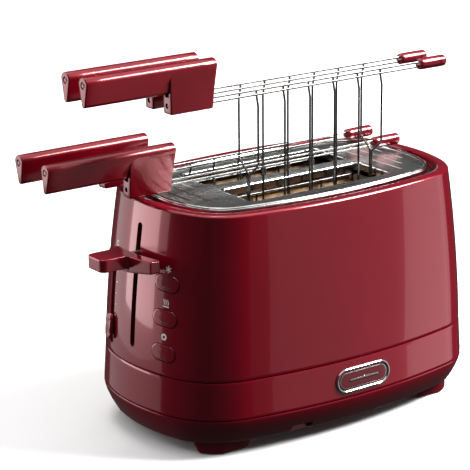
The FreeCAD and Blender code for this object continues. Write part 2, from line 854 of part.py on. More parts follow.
def cage_grid(side):
    """Half a cage: two rails, six hanging wires, a bottom wire with hooks and two hinge eyes."""
    y = side * rail_offset
    out = side * (rail_offset + wire_jog)
    eye_y = side * end_wire_in
    first = -(wire_count - 1) / 2 * wire_pitch
    jog_top = cage_depth - rail_spacing / 2
    pieces = [rod(V(rail_left, y, z), V(rail_right, y, z), rail_radius) for z in rail_levels()]
    middle_tail = [(out, hook_height), (side * hook_tip, hook_height)]
    end_tail = [(out, end_wire_jog_top), (eye_y, end_wire_jog_bottom), (eye_y, 0)]
    for i in range(wire_count):
        at_end = i in (0, wire_count - 1)
        x = first + i * wire_pitch + (side * eye_stagger if at_end else 0)
        path = [(y, cage_depth + rail_spacing / 2), (y, jog_top), (out, jog_top - wire_jog_drop)]
        path += end_tail if at_end else middle_tail
        pieces.append(wire_run([V(x, across, z) for across, z in path], wire_radius))
        if at_end:
            pieces.append(Part.makeTorus(eye_radius, eye_wire, V(x, 0, 0), V(1, 0, 0)))
    reach = -first - wire_pitch
    pieces.append(rod(V(-reach, out, hook_height), V(reach, out, hook_height), wire_radius))
    return pieces[0].multiFuse(pieces[1:])


def rail_holes(y, left, right):
    radius = rail_radius + hole_clearance
    return [rod(V(left, y, z), V(right, y, z), radius) for z in rail_levels()]


def bar_section(x):
    """Round-topped section that narrows to a small round foot."""
    low = cage_depth + bar_bottom + bar_foot_radius
    high = cage_depth + bar_bottom + bar_height - bar_top_radius
    lean = math.asin((bar_top_radius - bar_foot_radius) / (high - low))
    across = math.cos(lean)
    rise = math.sin(lean)
    right_low = V(x, bar_foot_radius * across, low + bar_foot_radius * rise)
    right_high = V(x, bar_top_radius * across, high + bar_top_radius * rise)
    left_low = V(x, -right_low.y, right_low.z)
    left_high = V(x, -right_high.y, right_high.z)
    edges = [Part.LineSegment(right_low, right_high).toShape(),
             Part.Arc(right_high, V(x, 0, high + bar_top_radius), left_high).toShape(),
             Part.LineSegment(left_high, left_low).toShape(),
             Part.Arc(left_low, V(x, 0, low - bar_foot_radius), right_low).toShape()]
    return Part.Wire(edges)


def cage_handle(side):
    y = side * rail_offset
    bar = Part.Face(bar_section(bar_left)).extrude(V(bar_right - bar_left, 0, 0))
    high = cage_depth + bar_bottom + bar_height - bar_top_radius
    dimple = rod(V(bar_left - 1, 0, high), V(bar_left + 0.8, 0, high), 2.6)
    dimple = dimple.cut(rod(V(bar_left - 1, 0, high), V(bar_left + 1, 0, high), 1.3))
    bar = bar.cut(dimple)
    low = cage_depth + leg_bottom
    joint = high - 2
    profile = [V(leg_left, 0, low), V(leg_right, 0, low),
               V(leg_right + 2.5, 0, joint), V(leg_left, 0, joint)]
    leg = Part.Face(Part.makePolygon(profile + profile[:1])).extrude(V(0, leg_thickness, 0))
    leg.translate(V(0, -leg_thickness / 2, 0))
    pocket = box(V(leg_left - 1, -2.4, low + 12), V(leg_left + 5, 2.4, low + 19))
    handle = bar.fuse(leg).cut(pocket)
    handle.translate(V(0, y, 0))
    screw_z = low + leg_screw_height
    holes = rail_holes(y, rail_left - 1, bar_right + 5)
    holes.append(rod(V(leg_left - 1, y, screw_z), V(leg_left + 9, y, screw_z), leg_screw_radius))
    return handle.cut(holes[0].multiFuse(holes[1:])).removeSplitter()


def handle_screw(side):
    y = side * rail_offset
    z = cage_depth + leg_bottom + leg_screw_height
    return rod(V(leg_left + 1.2, y, z), V(leg_left + 9, y, z), leg_screw_radius - hole_clearance)


def end_cap(side):
    y = side * rail_offset
    body = rod(V(cap_left, y, cage_depth), V(cap_right, y, cage_depth), cap_radius)
    rim = [edge for edge in body.Edges if edge.Closed and edge.CenterOfMass.x > cap_right - 1]
    body = body.makeFillet(cap_radius * 0.35, rim)
    holes = rail_holes(y, cap_left - 1, rail_right + 0.5)
    return body.cut(holes[0].multiFuse(holes[1:]))


def hinge_pins():
    pins = []
    middle = (wire_count - 1) / 2 * wire_pitch
    half = eye_stagger + wire_radius + 0.4
    for x in (-middle, middle):
        shank = rod(V(x - half - 1, 0, 0), V(x + half + 1, 0, 0), pin_radius)
        heads = [rod(V(x + s * half, 0, 0), V(x + s * (half + 1), 0, 0), pin_head) for s in (-1, 1)]
        pins.append(join([shank] + heads))
    return Part.makeCompound(pins)


def save_cage(name, middle, shift, raised, angle):
    for word, side in (("near", -1), ("far", 1)):
        place = cage_place(middle, shift, raised, side, angle)
        save(placed(cage_handle(side), place), name + "_handle_" + word)
        save(placed(cage_grid(side), place), name + "_grid_" + word)
        save(placed(end_cap(side), place), name + "_cap_" + word)
        save(placed(handle_screw(side), place), name + "_screw_" + word)
    save(placed(hinge_pins(), cage_place(middle, shift, raised, 1, 0)), name + "_pins")


def main():
    os.makedirs("parts", exist_ok=True)
    save(outer_shell(), "outer_shell")
    save(skirt_band(), "skirt_band")
    save(base_tray(), "base_tray")
    save(foot_pads(), "foot_pads")
    save(base_screws(), "base_screws")
    save(crumb_tray(), "crumb_tray")
    save(cord_gland(), "cord_gland")
    save(terminal_block(), "terminal_block")
    save(badge_frame(), "badge_frame")
    save(badge_plate(), "badge_plate")
    save(top_collar(), "top_collar")
    save(top_plate(), "top_plate")
    save(chassis_plate_control(), "chassis_plate_control")
    save(chassis_plate(1), "chassis_plate_far")
    save(reflector(-1), "reflector_front")
    save(reflector(1), "reflector_rear")
    names = ("front_outer", "front_inner", "rear_inner", "rear_outer")
    for name, y in zip(names, beside_slots(board_offset)):
        save(element_board(y), "element_board_" + name)
    windings = [element_winding(y) for y in beside_slots(board_offset)]
    save(Part.makeCompound(windings[:2]), "element_windings_front")
    save(Part.makeCompound(windings[2:]), "element_windings_rear")
    save(guard_wires(-slot_middle), "guard_wires_front")
    save(guard_wires(slot_middle), "guard_wires_rear")
    save(guide_rods(), "guide_rods")
    save(rod_bracket(), "rod_bracket")
    save(return_spring(), "return_spring")
    save(electromagnet(), "electromagnet")
    save(keeper_plate(), "keeper_plate")
    save(carriage_bracket(), "carriage_bracket")
    save(lifter(-slot_middle, front_cage_shift), "lifter_front")
    save(lifter(slot_middle, 0), "lifter_rear")
    save(lever_arm(), "lever_arm")
    save(lever_knob(), "lever_knob")
    for name, offset in zip(("defrost_button", "reheat_button", "bagel_button"), button_offsets()):
        save(push_button(offset), name)
    save(control_board(), "control_board")
    save(switch_group(), "switch_group")
    save(browning_knob(), "browning_knob")
    save(slider_track(), "slider_track")
    save_cage("front_cage", -slot_middle, front_cage_shift, cage_raise, 0)
    save_cage("rear_cage", slot_middle, 0, 0, cage_open_angle)


main()
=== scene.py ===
import json
import math
import bpy
import bmesh
import numpy as np
from mathutils import Matrix, Vector


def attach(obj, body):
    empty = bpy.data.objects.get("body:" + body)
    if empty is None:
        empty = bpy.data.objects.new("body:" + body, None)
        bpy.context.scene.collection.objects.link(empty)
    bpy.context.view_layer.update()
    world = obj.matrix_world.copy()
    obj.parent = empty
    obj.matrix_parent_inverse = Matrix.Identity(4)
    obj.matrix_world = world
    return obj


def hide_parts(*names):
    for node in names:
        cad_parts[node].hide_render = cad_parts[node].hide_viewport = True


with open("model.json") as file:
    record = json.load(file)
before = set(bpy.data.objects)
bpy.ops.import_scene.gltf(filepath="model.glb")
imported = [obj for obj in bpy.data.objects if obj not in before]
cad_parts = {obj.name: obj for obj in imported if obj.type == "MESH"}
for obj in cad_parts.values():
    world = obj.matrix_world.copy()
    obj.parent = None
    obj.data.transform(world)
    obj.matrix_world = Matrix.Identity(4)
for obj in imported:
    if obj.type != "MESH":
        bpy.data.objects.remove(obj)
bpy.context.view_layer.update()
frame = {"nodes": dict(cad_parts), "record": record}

# Two-slot toaster with two sandwich cages. Sizes here are in millimetres and are
# scaled once, when a mesh is made. X runs along the slots, Z is up.
mm = 0.001

casing = dict(halfLength=139.8, halfWidth=88.3, top=177.0, skirtTop=58.0, skirtBottom=29.7, baseBottom=9.0,
              seam=0.6, wall=2.6, endRadius=138.0, sideRadius=440.0, cornerRadius=55.0, skirtTaper=1.6,
              taperLength=12.4, taperWidth=7.2, tuckLength=8.8, tuckWidth=10.4, edgeRound=2.6,
              rimWidth=8.6, lipDepth=9.0, lipWall=2.0)
arcSteps = dict(end=24, corner=40, side=44)


# outline of the casing at any height
def tuckAt(z):
    c = casing
    if z >= c["skirtTop"]:
        rise = (z - c["skirtTop"]) / (c["top"] - c["skirtTop"])
        curve = 0.4 * rise + 0.6 * rise ** 2
        return c["skirtTaper"] + c["taperLength"] * curve, c["skirtTaper"] + c["taperWidth"] * curve
    if z >= c["skirtBottom"]:
        taper = c["skirtTaper"] * (z - c["skirtBottom"]) / (c["skirtTop"] - c["skirtBottom"])
        return taper, taper
    drop = ((c["skirtBottom"] - z) / (c["skirtBottom"] - c["baseBottom"])) ** 1.5
    return c["tuckLength"] * drop, c["tuckWidth"] * drop


def outlineAt(z, inset=0.0, level=None, steps=arcSteps):
    # closed outline of eight tangent arcs, as an array of points
    tuckX, tuckY = tuckAt(z if level is None else level)
    c = casing
    halfLength, halfWidth, shrink = c["halfLength"] - tuckX - inset, c["halfWidth"] - tuckY - inset, tuckY + inset
    end, side, corner = c["endRadius"] - shrink, c["sideRadius"] - shrink, c["cornerRadius"] - shrink
    endMiddle, sideMiddle = np.array([halfLength - end, 0.0]), np.array([0.0, halfWidth - side])
    span = sideMiddle - endMiddle
    distance = np.hypot(*span)
    near, far = end - corner, side - corner
    along = (distance ** 2 + near ** 2 - far ** 2) / (2 * distance)
    across = math.sqrt(near ** 2 - along ** 2)
    unit = span / distance
    cornerMiddle = endMiddle + unit * along + np.array([-unit[1], unit[0]]) * across
    toEnd, toSide = cornerMiddle - endMiddle, cornerMiddle - sideMiddle
    first, second = math.atan2(toEnd[1], toEnd[0]), math.atan2(toSide[1], toSide[0])
    quarter = []
    for middle, radius, start, stop, count in ((endMiddle, end, 0.0, first, steps["end"]),
                                               (cornerMiddle, corner, first, second, steps["corner"]),
                                               (sideMiddle, side, second, math.pi / 2, steps["side"])):
        for angle in np.linspace(start, stop, count, endpoint=False):
            quarter.append(middle + radius * np.array([math.cos(angle), math.sin(angle)]))
    quarter.append(np.array([0.0, halfWidth]))
    one = np.array(quarter)
    two = one[::-1][1:] * [-1, 1]
    three = one[1:] * [-1, -1]
    four = one[::-1][1:-1] * [1, -1]
    flat = np.vstack([one, two, three, four])
    return np.column_stack([flat, np.full(len(flat), z)])


def endSurface(y, z):
    tuckX, tuckY = tuckAt(z)
    radius = casing["endRadius"] - tuckY
    return radius - (casing["halfLength"] - tuckX) - math.sqrt(radius ** 2 - y ** 2)


def frontSurface(x, z):
    tuckY = tuckAt(z)[1]
    radius = casing["sideRadius"] - tuckY
    return radius - (casing["halfWidth"] - tuckY) - math.sqrt(radius ** 2 - x ** 2)


class Patch:
    # a spot on the casing with its own across, up and out directions
    def __init__(self, origin, out, up, depthOf):
        self.origin, self.out, self.up = np.array(origin), np.array(out) / np.linalg.norm(out), np.array(up)
        self.up = self.up / np.linalg.norm(self.up)
        self.across = np.cross(self.up, self.out)
        self.depthOf = depthOf

    def on(self, u, v, lift=0.0):
        # the point u across and v up from the middle, lift millimetres above the casing
        start = self.origin + self.across * u + self.up * v
        depth = 0.0
        for _ in range(4):
            depth += self.depthOf(start + self.out * depth)
        return start + self.out * (depth + lift)

    def at(self, u, v, lift):
        return self.origin + self.across * u + self.up * v + self.out * lift


def endPatch(y, z):
    origin = np.array([endSurface(y, z), y, z])
    rise = np.array([endSurface(y, z + 20) - endSurface(y, z - 20), 0, 40.0])
    radius = casing["endRadius"] - tuckAt(z)[1]
    rise /= np.linalg.norm(rise)
    level = np.array([-math.sqrt(radius ** 2 - y ** 2) / radius, y / radius, 0])
    out = level - rise * level.dot(rise)
    return Patch(origin, out, rise, lambda p: (p[0] - endSurface(p[1], p[2])))


def frontPatch(x, z):
    origin = np.array([x, frontSurface(x, z), z])
    rise = np.array([0, frontSurface(x, z + 5) - frontSurface(x, z - 5), 10.0])
    rise /= np.linalg.norm(rise)
    out = np.array([0.0, -1.0, 0.0])
    out = out - rise * out.dot(rise)
    return Patch(origin, out, rise, lambda p: (p[1] - frontSurface(p[0], p[2])))


# finishes
class Term:
    # wraps a socket, so that an expression adds its Math nodes
    def __init__(self, tree, socket):
        self.tree, self.socket = tree, socket

    def calc(self, operation, *values):
        made = self.tree.nodes.new("ShaderNodeMath")
        made.operation = operation
        for index, value in enumerate(values):
            if isinstance(value, Term):
                self.tree.links.new(value.socket, made.inputs[index])
            else:
                made.inputs[index].default_value = value
        return Term(self.tree, made.outputs[0])

    def __add__(self, other):
        return self.calc("ADD", self, other)

    def __radd__(self, other):
        return self.calc("ADD", other, self)

    def __sub__(self, other):
        return self.calc("SUBTRACT", self, other)

    def __rsub__(self, other):
        return self.calc("SUBTRACT", other, self)

    def __mul__(self, other):
        return self.calc("MULTIPLY", self, other)

    def __rmul__(self, other):
        return self.calc("MULTIPLY", other, self)

    def above(self, low, high):
        # 0 below low, 1 above high, smooth between
        made = self.tree.nodes.new("ShaderNodeMapRange")
        made.interpolation_type = "SMOOTHSTEP"
        made.inputs["From Min"].default_value = low
        made.inputs["From Max"].default_value = high
        self.tree.links.new(self.socket, made.inputs["Value"])
        return Term(self.tree, made.outputs["Result"])


class Finish:
    # one material: constants go straight on the shader, patterns are fed to it
    def __init__(self, name, colour, **constants):
        self.material = bpy.data.materials.new(name)
        self.material.use_nodes = True
        self.material.diffuse_color = (*colour, 1)
        self.tree = self.material.node_tree
        self.shader = self.tree.nodes["Principled BSDF"]
        self.shader.inputs["Base Color"].default_value = (*colour, 1)
        for socket, value in constants.items():
            self.shader.inputs[socket.replace("_", " ")].default_value = value

    def node(self, kind, settings=None, inputs=None, output=0):
        made = self.tree.nodes.new(kind)
        for name, value in (settings or {}).items():
            if name == "stops":
                for stop, (place, colour) in zip(made.color_ramp.elements, value):
                    stop.position, stop.color = place, (*colour, 1)
                for place, colour in value[2:]:
                    made.color_ramp.elements.new(place).color = (*colour, 1)
            else:
                setattr(made, name, value)
        for name, value in (inputs or {}).items():
            if isinstance(value, Term):
                self.tree.links.new(value.socket, made.inputs[name])
            else:
                made.inputs[name].default_value = value
        return Term(self.tree, made.outputs[output])

    def place(self, stretch=(1, 1, 1)):
        spot = self.node("ShaderNodeTexCoord", output="Object")
        return self.node("ShaderNodeMapping", inputs={"Vector": spot, "Scale": stretch})

    def noise(self, scale, detail=2.0, stretch=(1, 1, 1), roughness=0.5):
        return self.node("ShaderNodeTexNoise", inputs={"Vector": self.place(stretch), "Scale": scale,
                                                       "Detail": detail, "Roughness": roughness})

    def cells(self, scale, stretch=(1, 1, 1)):
        return self.node("ShaderNodeTexVoronoi", inputs={"Vector": self.place(stretch), "Scale": scale},
                         output="Color")

    def blend(self, factor, first, second):
        made = self.tree.nodes.new("ShaderNodeMix")
        made.data_type = "RGBA"
        self.tree.links.new(factor.socket, made.inputs[0])
        for index, value in ((6, first), (7, second)):
            if isinstance(value, Term):
                self.tree.links.new(value.socket, made.inputs[index])
            else:
                made.inputs[index].default_value = (*value, 1)
        return Term(self.tree, made.outputs[2])

    def feed(self, socket, term):
        self.tree.links.new(term.socket, self.shader.inputs[socket])

    def bump(self, height, strength, depth):
        self.feed("Normal", self.node("ShaderNodeBump", inputs={"Height": height, "Strength": strength,
                                                                "Distance": depth}))
        return self


def glossRed(name, colour, roughness, metallic, coat):
    # moulded, lacquered red: faint orange peel, a little dust and fine rub marks
    made = Finish(name, colour, Metallic=metallic, Coat_Weight=coat, Coat_Roughness=0.03)
    cloud = made.noise(9, 3)
    rubs = made.noise(260, 3, (1, 1, 0.15))
    made.feed("Roughness", roughness + 0.05 * (cloud - 0.5) + 0.04 * (rubs - 0.5))
    darker = tuple(part * 0.88 for part in colour)
    made.feed("Base Color", made.blend(cloud.above(0.3, 0.7), darker, colour))
    return made.bump(made.noise(380, 1.5), 0.02, 0.00004).material


def brushed(name, colour, roughness, stretch, depth, streak=0.08):
    # drawn steel with fine lines along one axis
    made = Finish(name, colour, Metallic=1.0)
    lines = made.noise(420, 4, stretch, 0.65)
    stains = made.noise(14, 3)
    made.feed("Roughness", roughness + streak * (lines - 0.5) + 0.08 * (stains - 0.5))
    darker = tuple(part * 0.78 for part in colour)
    made.feed("Base Color", made.blend(lines.above(0.25, 0.8) * 0.5 + stains.above(0.3, 0.7) * 0.4, darker, colour))
    return made.bump(lines, 0.05, depth).material


def bright(name, colour, roughness):
    # plated wire and trim with faint haze and die lines
    made = Finish(name, colour, Metallic=1.0)
    haze = made.noise(60, 3)
    lines = made.noise(500, 2, (0.1, 1, 1))
    made.feed("Roughness", roughness + 0.10 * (haze - 0.4) + 0.05 * lines)
    darker = tuple(part * 0.7 for part in colour)
    made.feed("Base Color", made.blend(haze.above(0.35, 0.75), darker, colour))
    return made.bump(lines, 0.08, 0.00004).material


def moulded(name, colour, roughness, grain=0.25):
    # spark-eroded plastic or rubber
    made = Finish(name, colour)
    made.shader.inputs["Specular IOR Level"].default_value = 0.4
    spots = made.noise(900, 2)
    cloud = made.noise(20, 2)
    made.feed("Roughness", roughness + 0.12 * (cloud - 0.5) + 0.1 * (spots - 0.5))
    lighter = tuple(min(1, part * 1.5 + 0.004) for part in colour)
    made.feed("Base Color", made.blend(cloud.above(0.4, 0.8), colour, lighter))
    return made.bump(spots, grain, 0.00008).material


def micaSheet():
    made = Finish("mica", (0.42, 0.22, 0.10))
    flakes = made.cells(260, (1, 1, 1.4))
    shade = made.node("ShaderNodeRGBToBW", inputs={"Color": flakes})
    cloud = made.noise(30, 4)
    tone = made.blend((shade * 0.6 + cloud * 0.5).above(0.2, 0.9), (0.24, 0.11, 0.045), (0.62, 0.38, 0.20))
    made.feed("Base Color", tone)
    made.feed("Roughness", 0.28 + 0.4 * shade)
    return made.bump(shade, 0.3, 0.0001).material


def zincSheet():
    made = Finish("zincSheet", (0.5, 0.49, 0.47), Metallic=1.0)
    spangle = made.node("ShaderNodeRGBToBW", inputs={"Color": made.cells(110)})
    lines = made.noise(300, 3, (1, 1, 0.1))
    made.feed("Base Color", made.blend(spangle, (0.34, 0.32, 0.30), (0.60, 0.58, 0.55)))
    made.feed("Roughness", 0.26 + 0.22 * spangle + 0.08 * lines)
    return made.bump(lines, 0.15, 0.00005).material


def heatedWire():
    made = Finish("nichrome", (0.33, 0.28, 0.25), Metallic=0.9)
    scale = made.noise(700, 4)
    made.feed("Base Color", made.blend(scale.above(0.35, 0.7), (0.16, 0.12, 0.11), (0.45, 0.36, 0.30)))
    made.feed("Roughness", 0.4 + 0.3 * scale)
    return made.bump(scale, 0.4, 0.00008).material


def woundCopper():
    made = Finish("copperCoil", (0.55, 0.24, 0.10), Metallic=0.9, Coat_Weight=0.6)
    turns = made.node("ShaderNodeTexWave", {"bands_direction": "Z"}, {"Vector": made.place(), "Scale": 320.0,
                                                                      "Distortion": 0.3})
    dust = made.noise(120, 3)
    made.feed("Base Color", made.blend(dust.above(0.3, 0.8), (0.40, 0.15, 0.06), (0.66, 0.31, 0.14)))
    made.feed("Roughness", 0.22 + 0.25 * dust)
    return made.bump(turns, 0.7, 0.0003).material


def circuitBoard():
    made = Finish("boardGreen", (0.02, 0.12, 0.05), Coat_Weight=0.5)
    tracks = made.node("ShaderNodeTexBrick", inputs={"Vector": made.place((1, 1, 1)), "Scale": 160.0})
    mask = made.node("ShaderNodeRGBToBW", inputs={"Color": tracks})
    made.feed("Base Color", made.blend(mask.above(0.2, 0.6), (0.03, 0.20, 0.08), (0.015, 0.10, 0.04)))
    made.feed("Roughness", 0.3 + 0.2 * mask)
    return made.bump(mask, 0.2, 0.00008).material


def printedWhite():
    made = Finish("printedWhite", (0.86, 0.84, 0.83))
    speck = made.noise(1800, 2)
    made.feed("Roughness", 0.35 + 0.25 * speck)
    made.feed("Base Color", made.blend(speck.above(0.25, 0.6), (0.70, 0.66, 0.66), (0.92, 0.90, 0.90)))
    return made.bump(speck, 0.15, 0.00002).material


finishes = dict(
    redGloss=glossRed("redGloss", (0.25, 0.0012, 0.013), 0.16, 0.35, 1.0),
    redHandle=glossRed("redHandle", (0.19, 0.001, 0.008), 0.20, 0.30, 0.4),
    darkLens=glossRed("darkLens", (0.10, 0.002, 0.008), 0.28, 0.2, 0.6),
    badgeRed=glossRed("badgeRed", (0.12, 0.006, 0.012), 0.24, 0.2, 1.0),
    plateSteel=brushed("plateSteel", (0.50, 0.50, 0.49), 0.28, (0.035, 1, 1), 0.00006),
    beadSteel=bright("beadSteel", (0.82, 0.82, 0.81), 0.10),
    # painted shade: the plated wire gets a very dark colour, which stands in for the dark surroundings that real
    # wire reflects
    chromeWirePaintedShade=bright("chromeWirePaintedShade", (0.16, 0.157, 0.153), 0.22),
    badgeChrome=bright("badgeChrome", (0.80, 0.78, 0.77), 0.08),
    blackPlastic=moulded("blackPlastic", (0.012, 0.011, 0.011), 0.42),
    rubberPad=moulded("rubberPad", (0.02, 0.02, 0.02), 0.75, 0.6),
    mica=micaSheet(), zinc=zincSheet(), nichrome=heatedWire(), copper=woundCopper(), board=circuitBoard(),
    printWhite=printedWhite())
print("finishes made:", len(finishes))


# mesh helpers
def newPiece(name, points, faces, finish, sharp=32.0, turnOut=True):
    mesh = bpy.data.meshes.new(name)
    mesh.from_pydata([tuple(float(part) * mm for part in point) for point in points], [],
                     [tuple(face) for face in faces])
    if turnOut:
        made = bmesh.new()
        made.from_mesh(mesh)
        bmesh.ops.remove_doubles(made, verts=made.verts, dist=1e-7)
        bmesh.ops.recalc_face_normals(made, faces=made.faces)
        made.to_mesh(mesh)
        made.free()
    mesh.materials.append(finishes[finish])
    piece = bpy.data.objects.new(name, mesh)
    bpy.context.scene.collection.objects.link(piece)
    smooth(piece, sharp)
    return piece


def smooth(piece, sharp=32.0):
    piece.data.shade_smooth()
    piece.data.set_sharp_from_angle(angle=math.radians(sharp))


def loft(rings, closed=False, capFirst=False, capLast=False):
    # faces between rings of equal length
    count = len(rings[0])
    points = np.vstack(rings)
    faces = []
    pairs = list(range(len(rings) - 1)) + ([len(rings) - 1] if closed else [])
    for row in pairs:
        below, above = row * count, ((row + 1) % len(rings)) * count
        for i in range(count):
            j = (i + 1) % count
            faces.append((below + i, below + j, above + j, above + i))
    if capFirst:
        faces.append(tuple(range(count - 1, -1, -1)))
    if capLast:
        faces.append(tuple(range((len(rings) - 1) * count, len(rings) * count)))
    return points, faces


def solid(name, rings, finish="redGloss", sharp=32.0):
    return newPiece(name, *loft(rings, capFirst=True, capLast=True), finish, sharp)


def band(name, rings, finish="redGloss", sharp=32.0):
    # rings joined up into a closed loop, such as a thick wall
    return newPiece(name, *loft(rings, closed=True), finish, sharp)


def baked(piece):
    # the evaluated object as a plain mesh
    graph = bpy.context.evaluated_depsgraph_get()
    graph.update()
    mesh = bpy.data.meshes.new_from_object(piece.evaluated_get(graph), depsgraph=graph)
    piece.modifiers.clear()
    old = piece.data
    piece.data = mesh
    bpy.data.meshes.remove(old)
    return piece


def cut(piece, cutters, kind="DIFFERENCE"):
    for cutter in cutters:
        change = piece.modifiers.new("cut", "BOOLEAN")
        change.operation, change.object, change.solver = kind, cutter, "EXACT"
    baked(piece)
    for cutter in cutters:
        bpy.data.objects.remove(cutter)
    return piece


def together(name, pieces):
    # one object from several, with their materials kept
    made, slots = bmesh.new(), []
    for piece in pieces:
        own = [slots.index(m) if m in slots else (slots.append(m) or len(slots) - 1) for m in piece.data.materials]
        start = len(made.faces)
        made.from_mesh(piece.data)
        made.faces.ensure_lookup_table()
        for face in made.faces[start:]:
            face.material_index = own[face.material_index] if own else 0
    mesh = bpy.data.meshes.new(name)
    made.to_mesh(mesh)
    made.free()
    for material in slots:
        mesh.materials.append(material)
    whole = bpy.data.objects.new(name, mesh)
    bpy.context.scene.collection.objects.link(whole)
    for piece in pieces:
        bpy.data.objects.remove(piece)
    return whole


def finishPiece(piece, body, slotName, *nodes):
    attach(piece, body)
    if nodes:
        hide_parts(*nodes)
    return piece


def oblong(width, tall, steps=14):
    # rounded oblong outline, as (across, up) pairs
    radius = min(width, tall) / 2
    reachU, reachV = max(width / 2 - radius, 0), max(tall / 2 - radius, 0)
    points = []
    for quarter, (signU, signV) in enumerate(((1, 1), (-1, 1), (-1, -1), (1, -1))):
        for k in range(steps + 1):
            angle = (quarter + k / steps) * math.pi / 2
            points.append((signU * reachU + radius * math.cos(angle), signV * reachV + radius * math.sin(angle)))
    return points


def roundBox(width, tall, corner, steps=6):
    points = []
    for quarter, (signU, signV) in enumerate(((1, 1), (-1, 1), (-1, -1), (1, -1))):
        for k in range(steps + 1):
            angle = (quarter + k / steps) * math.pi / 2
            points.append((signU * (width / 2 - corner) + corner * math.cos(angle),
                           signV * (tall / 2 - corner) + corner * math.sin(angle)))
    return points


def padRings(patch, width, tall, levels, middle=(0, 0)):
    # levels are (inset, lift) pairs, from the underside to the middle of the top
    return [[patch.on(middle[0] + u, middle[1] + v, lift) for u, v in oblong(width - 2 * inset, tall - 2 * inset)]
            for inset, lift in levels]


def boxPiece(name, low, high, finish="redGloss"):
    x0, y0, z0 = low
    x1, y1, z1 = high
    points = [(x0, y0, z0), (x1, y0, z0), (x1, y1, z0), (x0, y1, z0), (x0, y0, z1), (x1, y0, z1), (x1, y1, z1),
              (x0, y1, z1)]
    faces = [(0, 3, 2, 1), (4, 5, 6, 7), (0, 1, 5, 4), (1, 2, 6, 5), (2, 3, 7, 6), (3, 0, 4, 7)]
    return newPiece(name, points, faces, finish)


# the red casing: shell, skirt and base
controls = dict(leverSlot=(71.5, 162.5), slotWidth=5.6, buttonSide=-33.0, buttonMiddle=100.5, buttonPitch=25.4,
                buttonWidth=22.0, buttonTall=11.7, clearance=0.4, sliderSide=33.0, sliderMiddle=98.5,
                sliderTravel=42.0, groove=7.2, stemSlot=3.4, recess=1.2)
buttonPatch = endPatch(controls["buttonSide"], controls["buttonMiddle"])
sliderPatch = endPatch(controls["sliderSide"], controls["sliderMiddle"])


def pocketCutter(patch, width, tall, middle, deep, flare=0.15):
    levels = [(0, deep), (0, -flare), (-flare * 0.7, 0.05), (-flare * 0.7 - 0.2, 3.0)]
    rings = [padRings(patch, width, tall, [level], middle)[0] for level in levels]
    return solid("pocket", rings)


def buildShell():
    c = casing
    low, high, inner = c["skirtTop"] + c["seam"] / 2, c["top"] - c["edgeRound"], c["top"] - c["wall"]
    rows = [(low, c["wall"], None), (low, 1.2, None), (low, 0.45, None), (low + 0.12, 0.14, None),
            (low + 0.45, 0.0, None)]
    rows += [(z, 0.0, None) for z in np.linspace(low + 2.5, high, 50)]
    for angle in np.radians([15, 30, 45, 60, 75, 90]):
        rows.append((high + c["edgeRound"] * math.sin(angle), c["edgeRound"] * (1 - math.cos(angle)), high))
    rim, lip = c["rimWidth"], c["top"] - c["lipDepth"]
    rows += [(c["top"], 4.5, c["top"]), (c["top"], rim - 1.3, c["top"])]
    for angle in np.radians([25, 50, 75, 90]):
        rows.append((c["top"] - 1.3 * (1 - math.cos(angle)), rim - 1.3 + 1.3 * math.sin(angle), c["top"]))
    rows += [(lip, rim, c["top"]), (lip, rim - c["lipWall"], c["top"]), (inner - 0.2, rim - c["lipWall"], c["top"]),
             (inner - 0.2, c["wall"] + 0.4, inner)]
    rows += [(z, c["wall"], None) for z in np.linspace(inner - 3, low + 3, 14)]
    shell = band("shellBody", [outlineAt(z, inset, level) for z, inset, level in rows])
    k = controls
    middle, height = sum(k["leverSlot"]) / 2, k["leverSlot"][1] - k["leverSlot"][0]
    slotRings = [[(x, u, middle + v) for u, v in oblong(k["slotWidth"], height)] for x in (-170.0, -105.0)]
    cutters = [solid("leverCut", slotRings)]
    for row in (1, 0, -1):
        cutters.append(pocketCutter(buttonPatch, k["buttonWidth"] + 2 * k["clearance"],
                                    k["buttonTall"] + 2 * k["clearance"], (0, row * k["buttonPitch"]), -7.0))
    cutters.append(pocketCutter(sliderPatch, k["groove"], k["sliderTravel"] + 26, (0, 0), -k["recess"], 0.25))
    cutters.append(pocketCutter(sliderPatch, k["stemSlot"], k["sliderTravel"] + 14, (0, 0), -7.0, 0.1))
    cut(shell, cutters)
    smooth(shell, 30)
    return finishPiece(shell, "toaster", "red_gloss", "outer_shell")


def buildSkirt():
    c = casing
    low, high = c["skirtBottom"] + c["seam"] / 2, c["skirtTop"] - c["seam"] / 2
    rows = [(low, c["wall"]), (low, 0.5), (low + 0.12, 0.15), (low + 0.5, 0.0)]
    rows += [(z, 0.0) for z in np.linspace(low + 2, high - 2, 12)]
    rows += [(high - 0.5, 0.0), (high - 0.12, 0.15), (high, 0.5), (high, c["wall"]), (high - 8, c["wall"] + 0.3),
             (low + 8, c["wall"] + 0.3)]
    skirt = band("skirtBody", [outlineAt(z, inset) for z, inset in rows])
    # dark inner lip that closes the two seams from behind
    lips = []
    for seam in (c["skirtTop"], c["skirtBottom"]):
        rings = [outlineAt(z, inset, level=min(max(z, c["skirtBottom"]), c["skirtTop"]))
                 for z, inset in ((seam - 4, 2.9), (seam + 4, 2.9), (seam + 4, 4.4), (seam - 4, 4.4))]
        lips.append(band("seamLip", rings, "darkLens"))
    return finishPiece(together("skirtBand", [skirt] + lips), "toaster", "red_gloss", "skirt_band")


base = dict(footAlong=98.0, footAcross=55.0, footLength=36.0, footWidth=16.0, flare=5.0, setback=1.5, footLow=1.2,
            notch=(-53.0, -36.0), notchHeight=6.4, trayHalf=52.5, trayWindow=(11.6, 20.3))


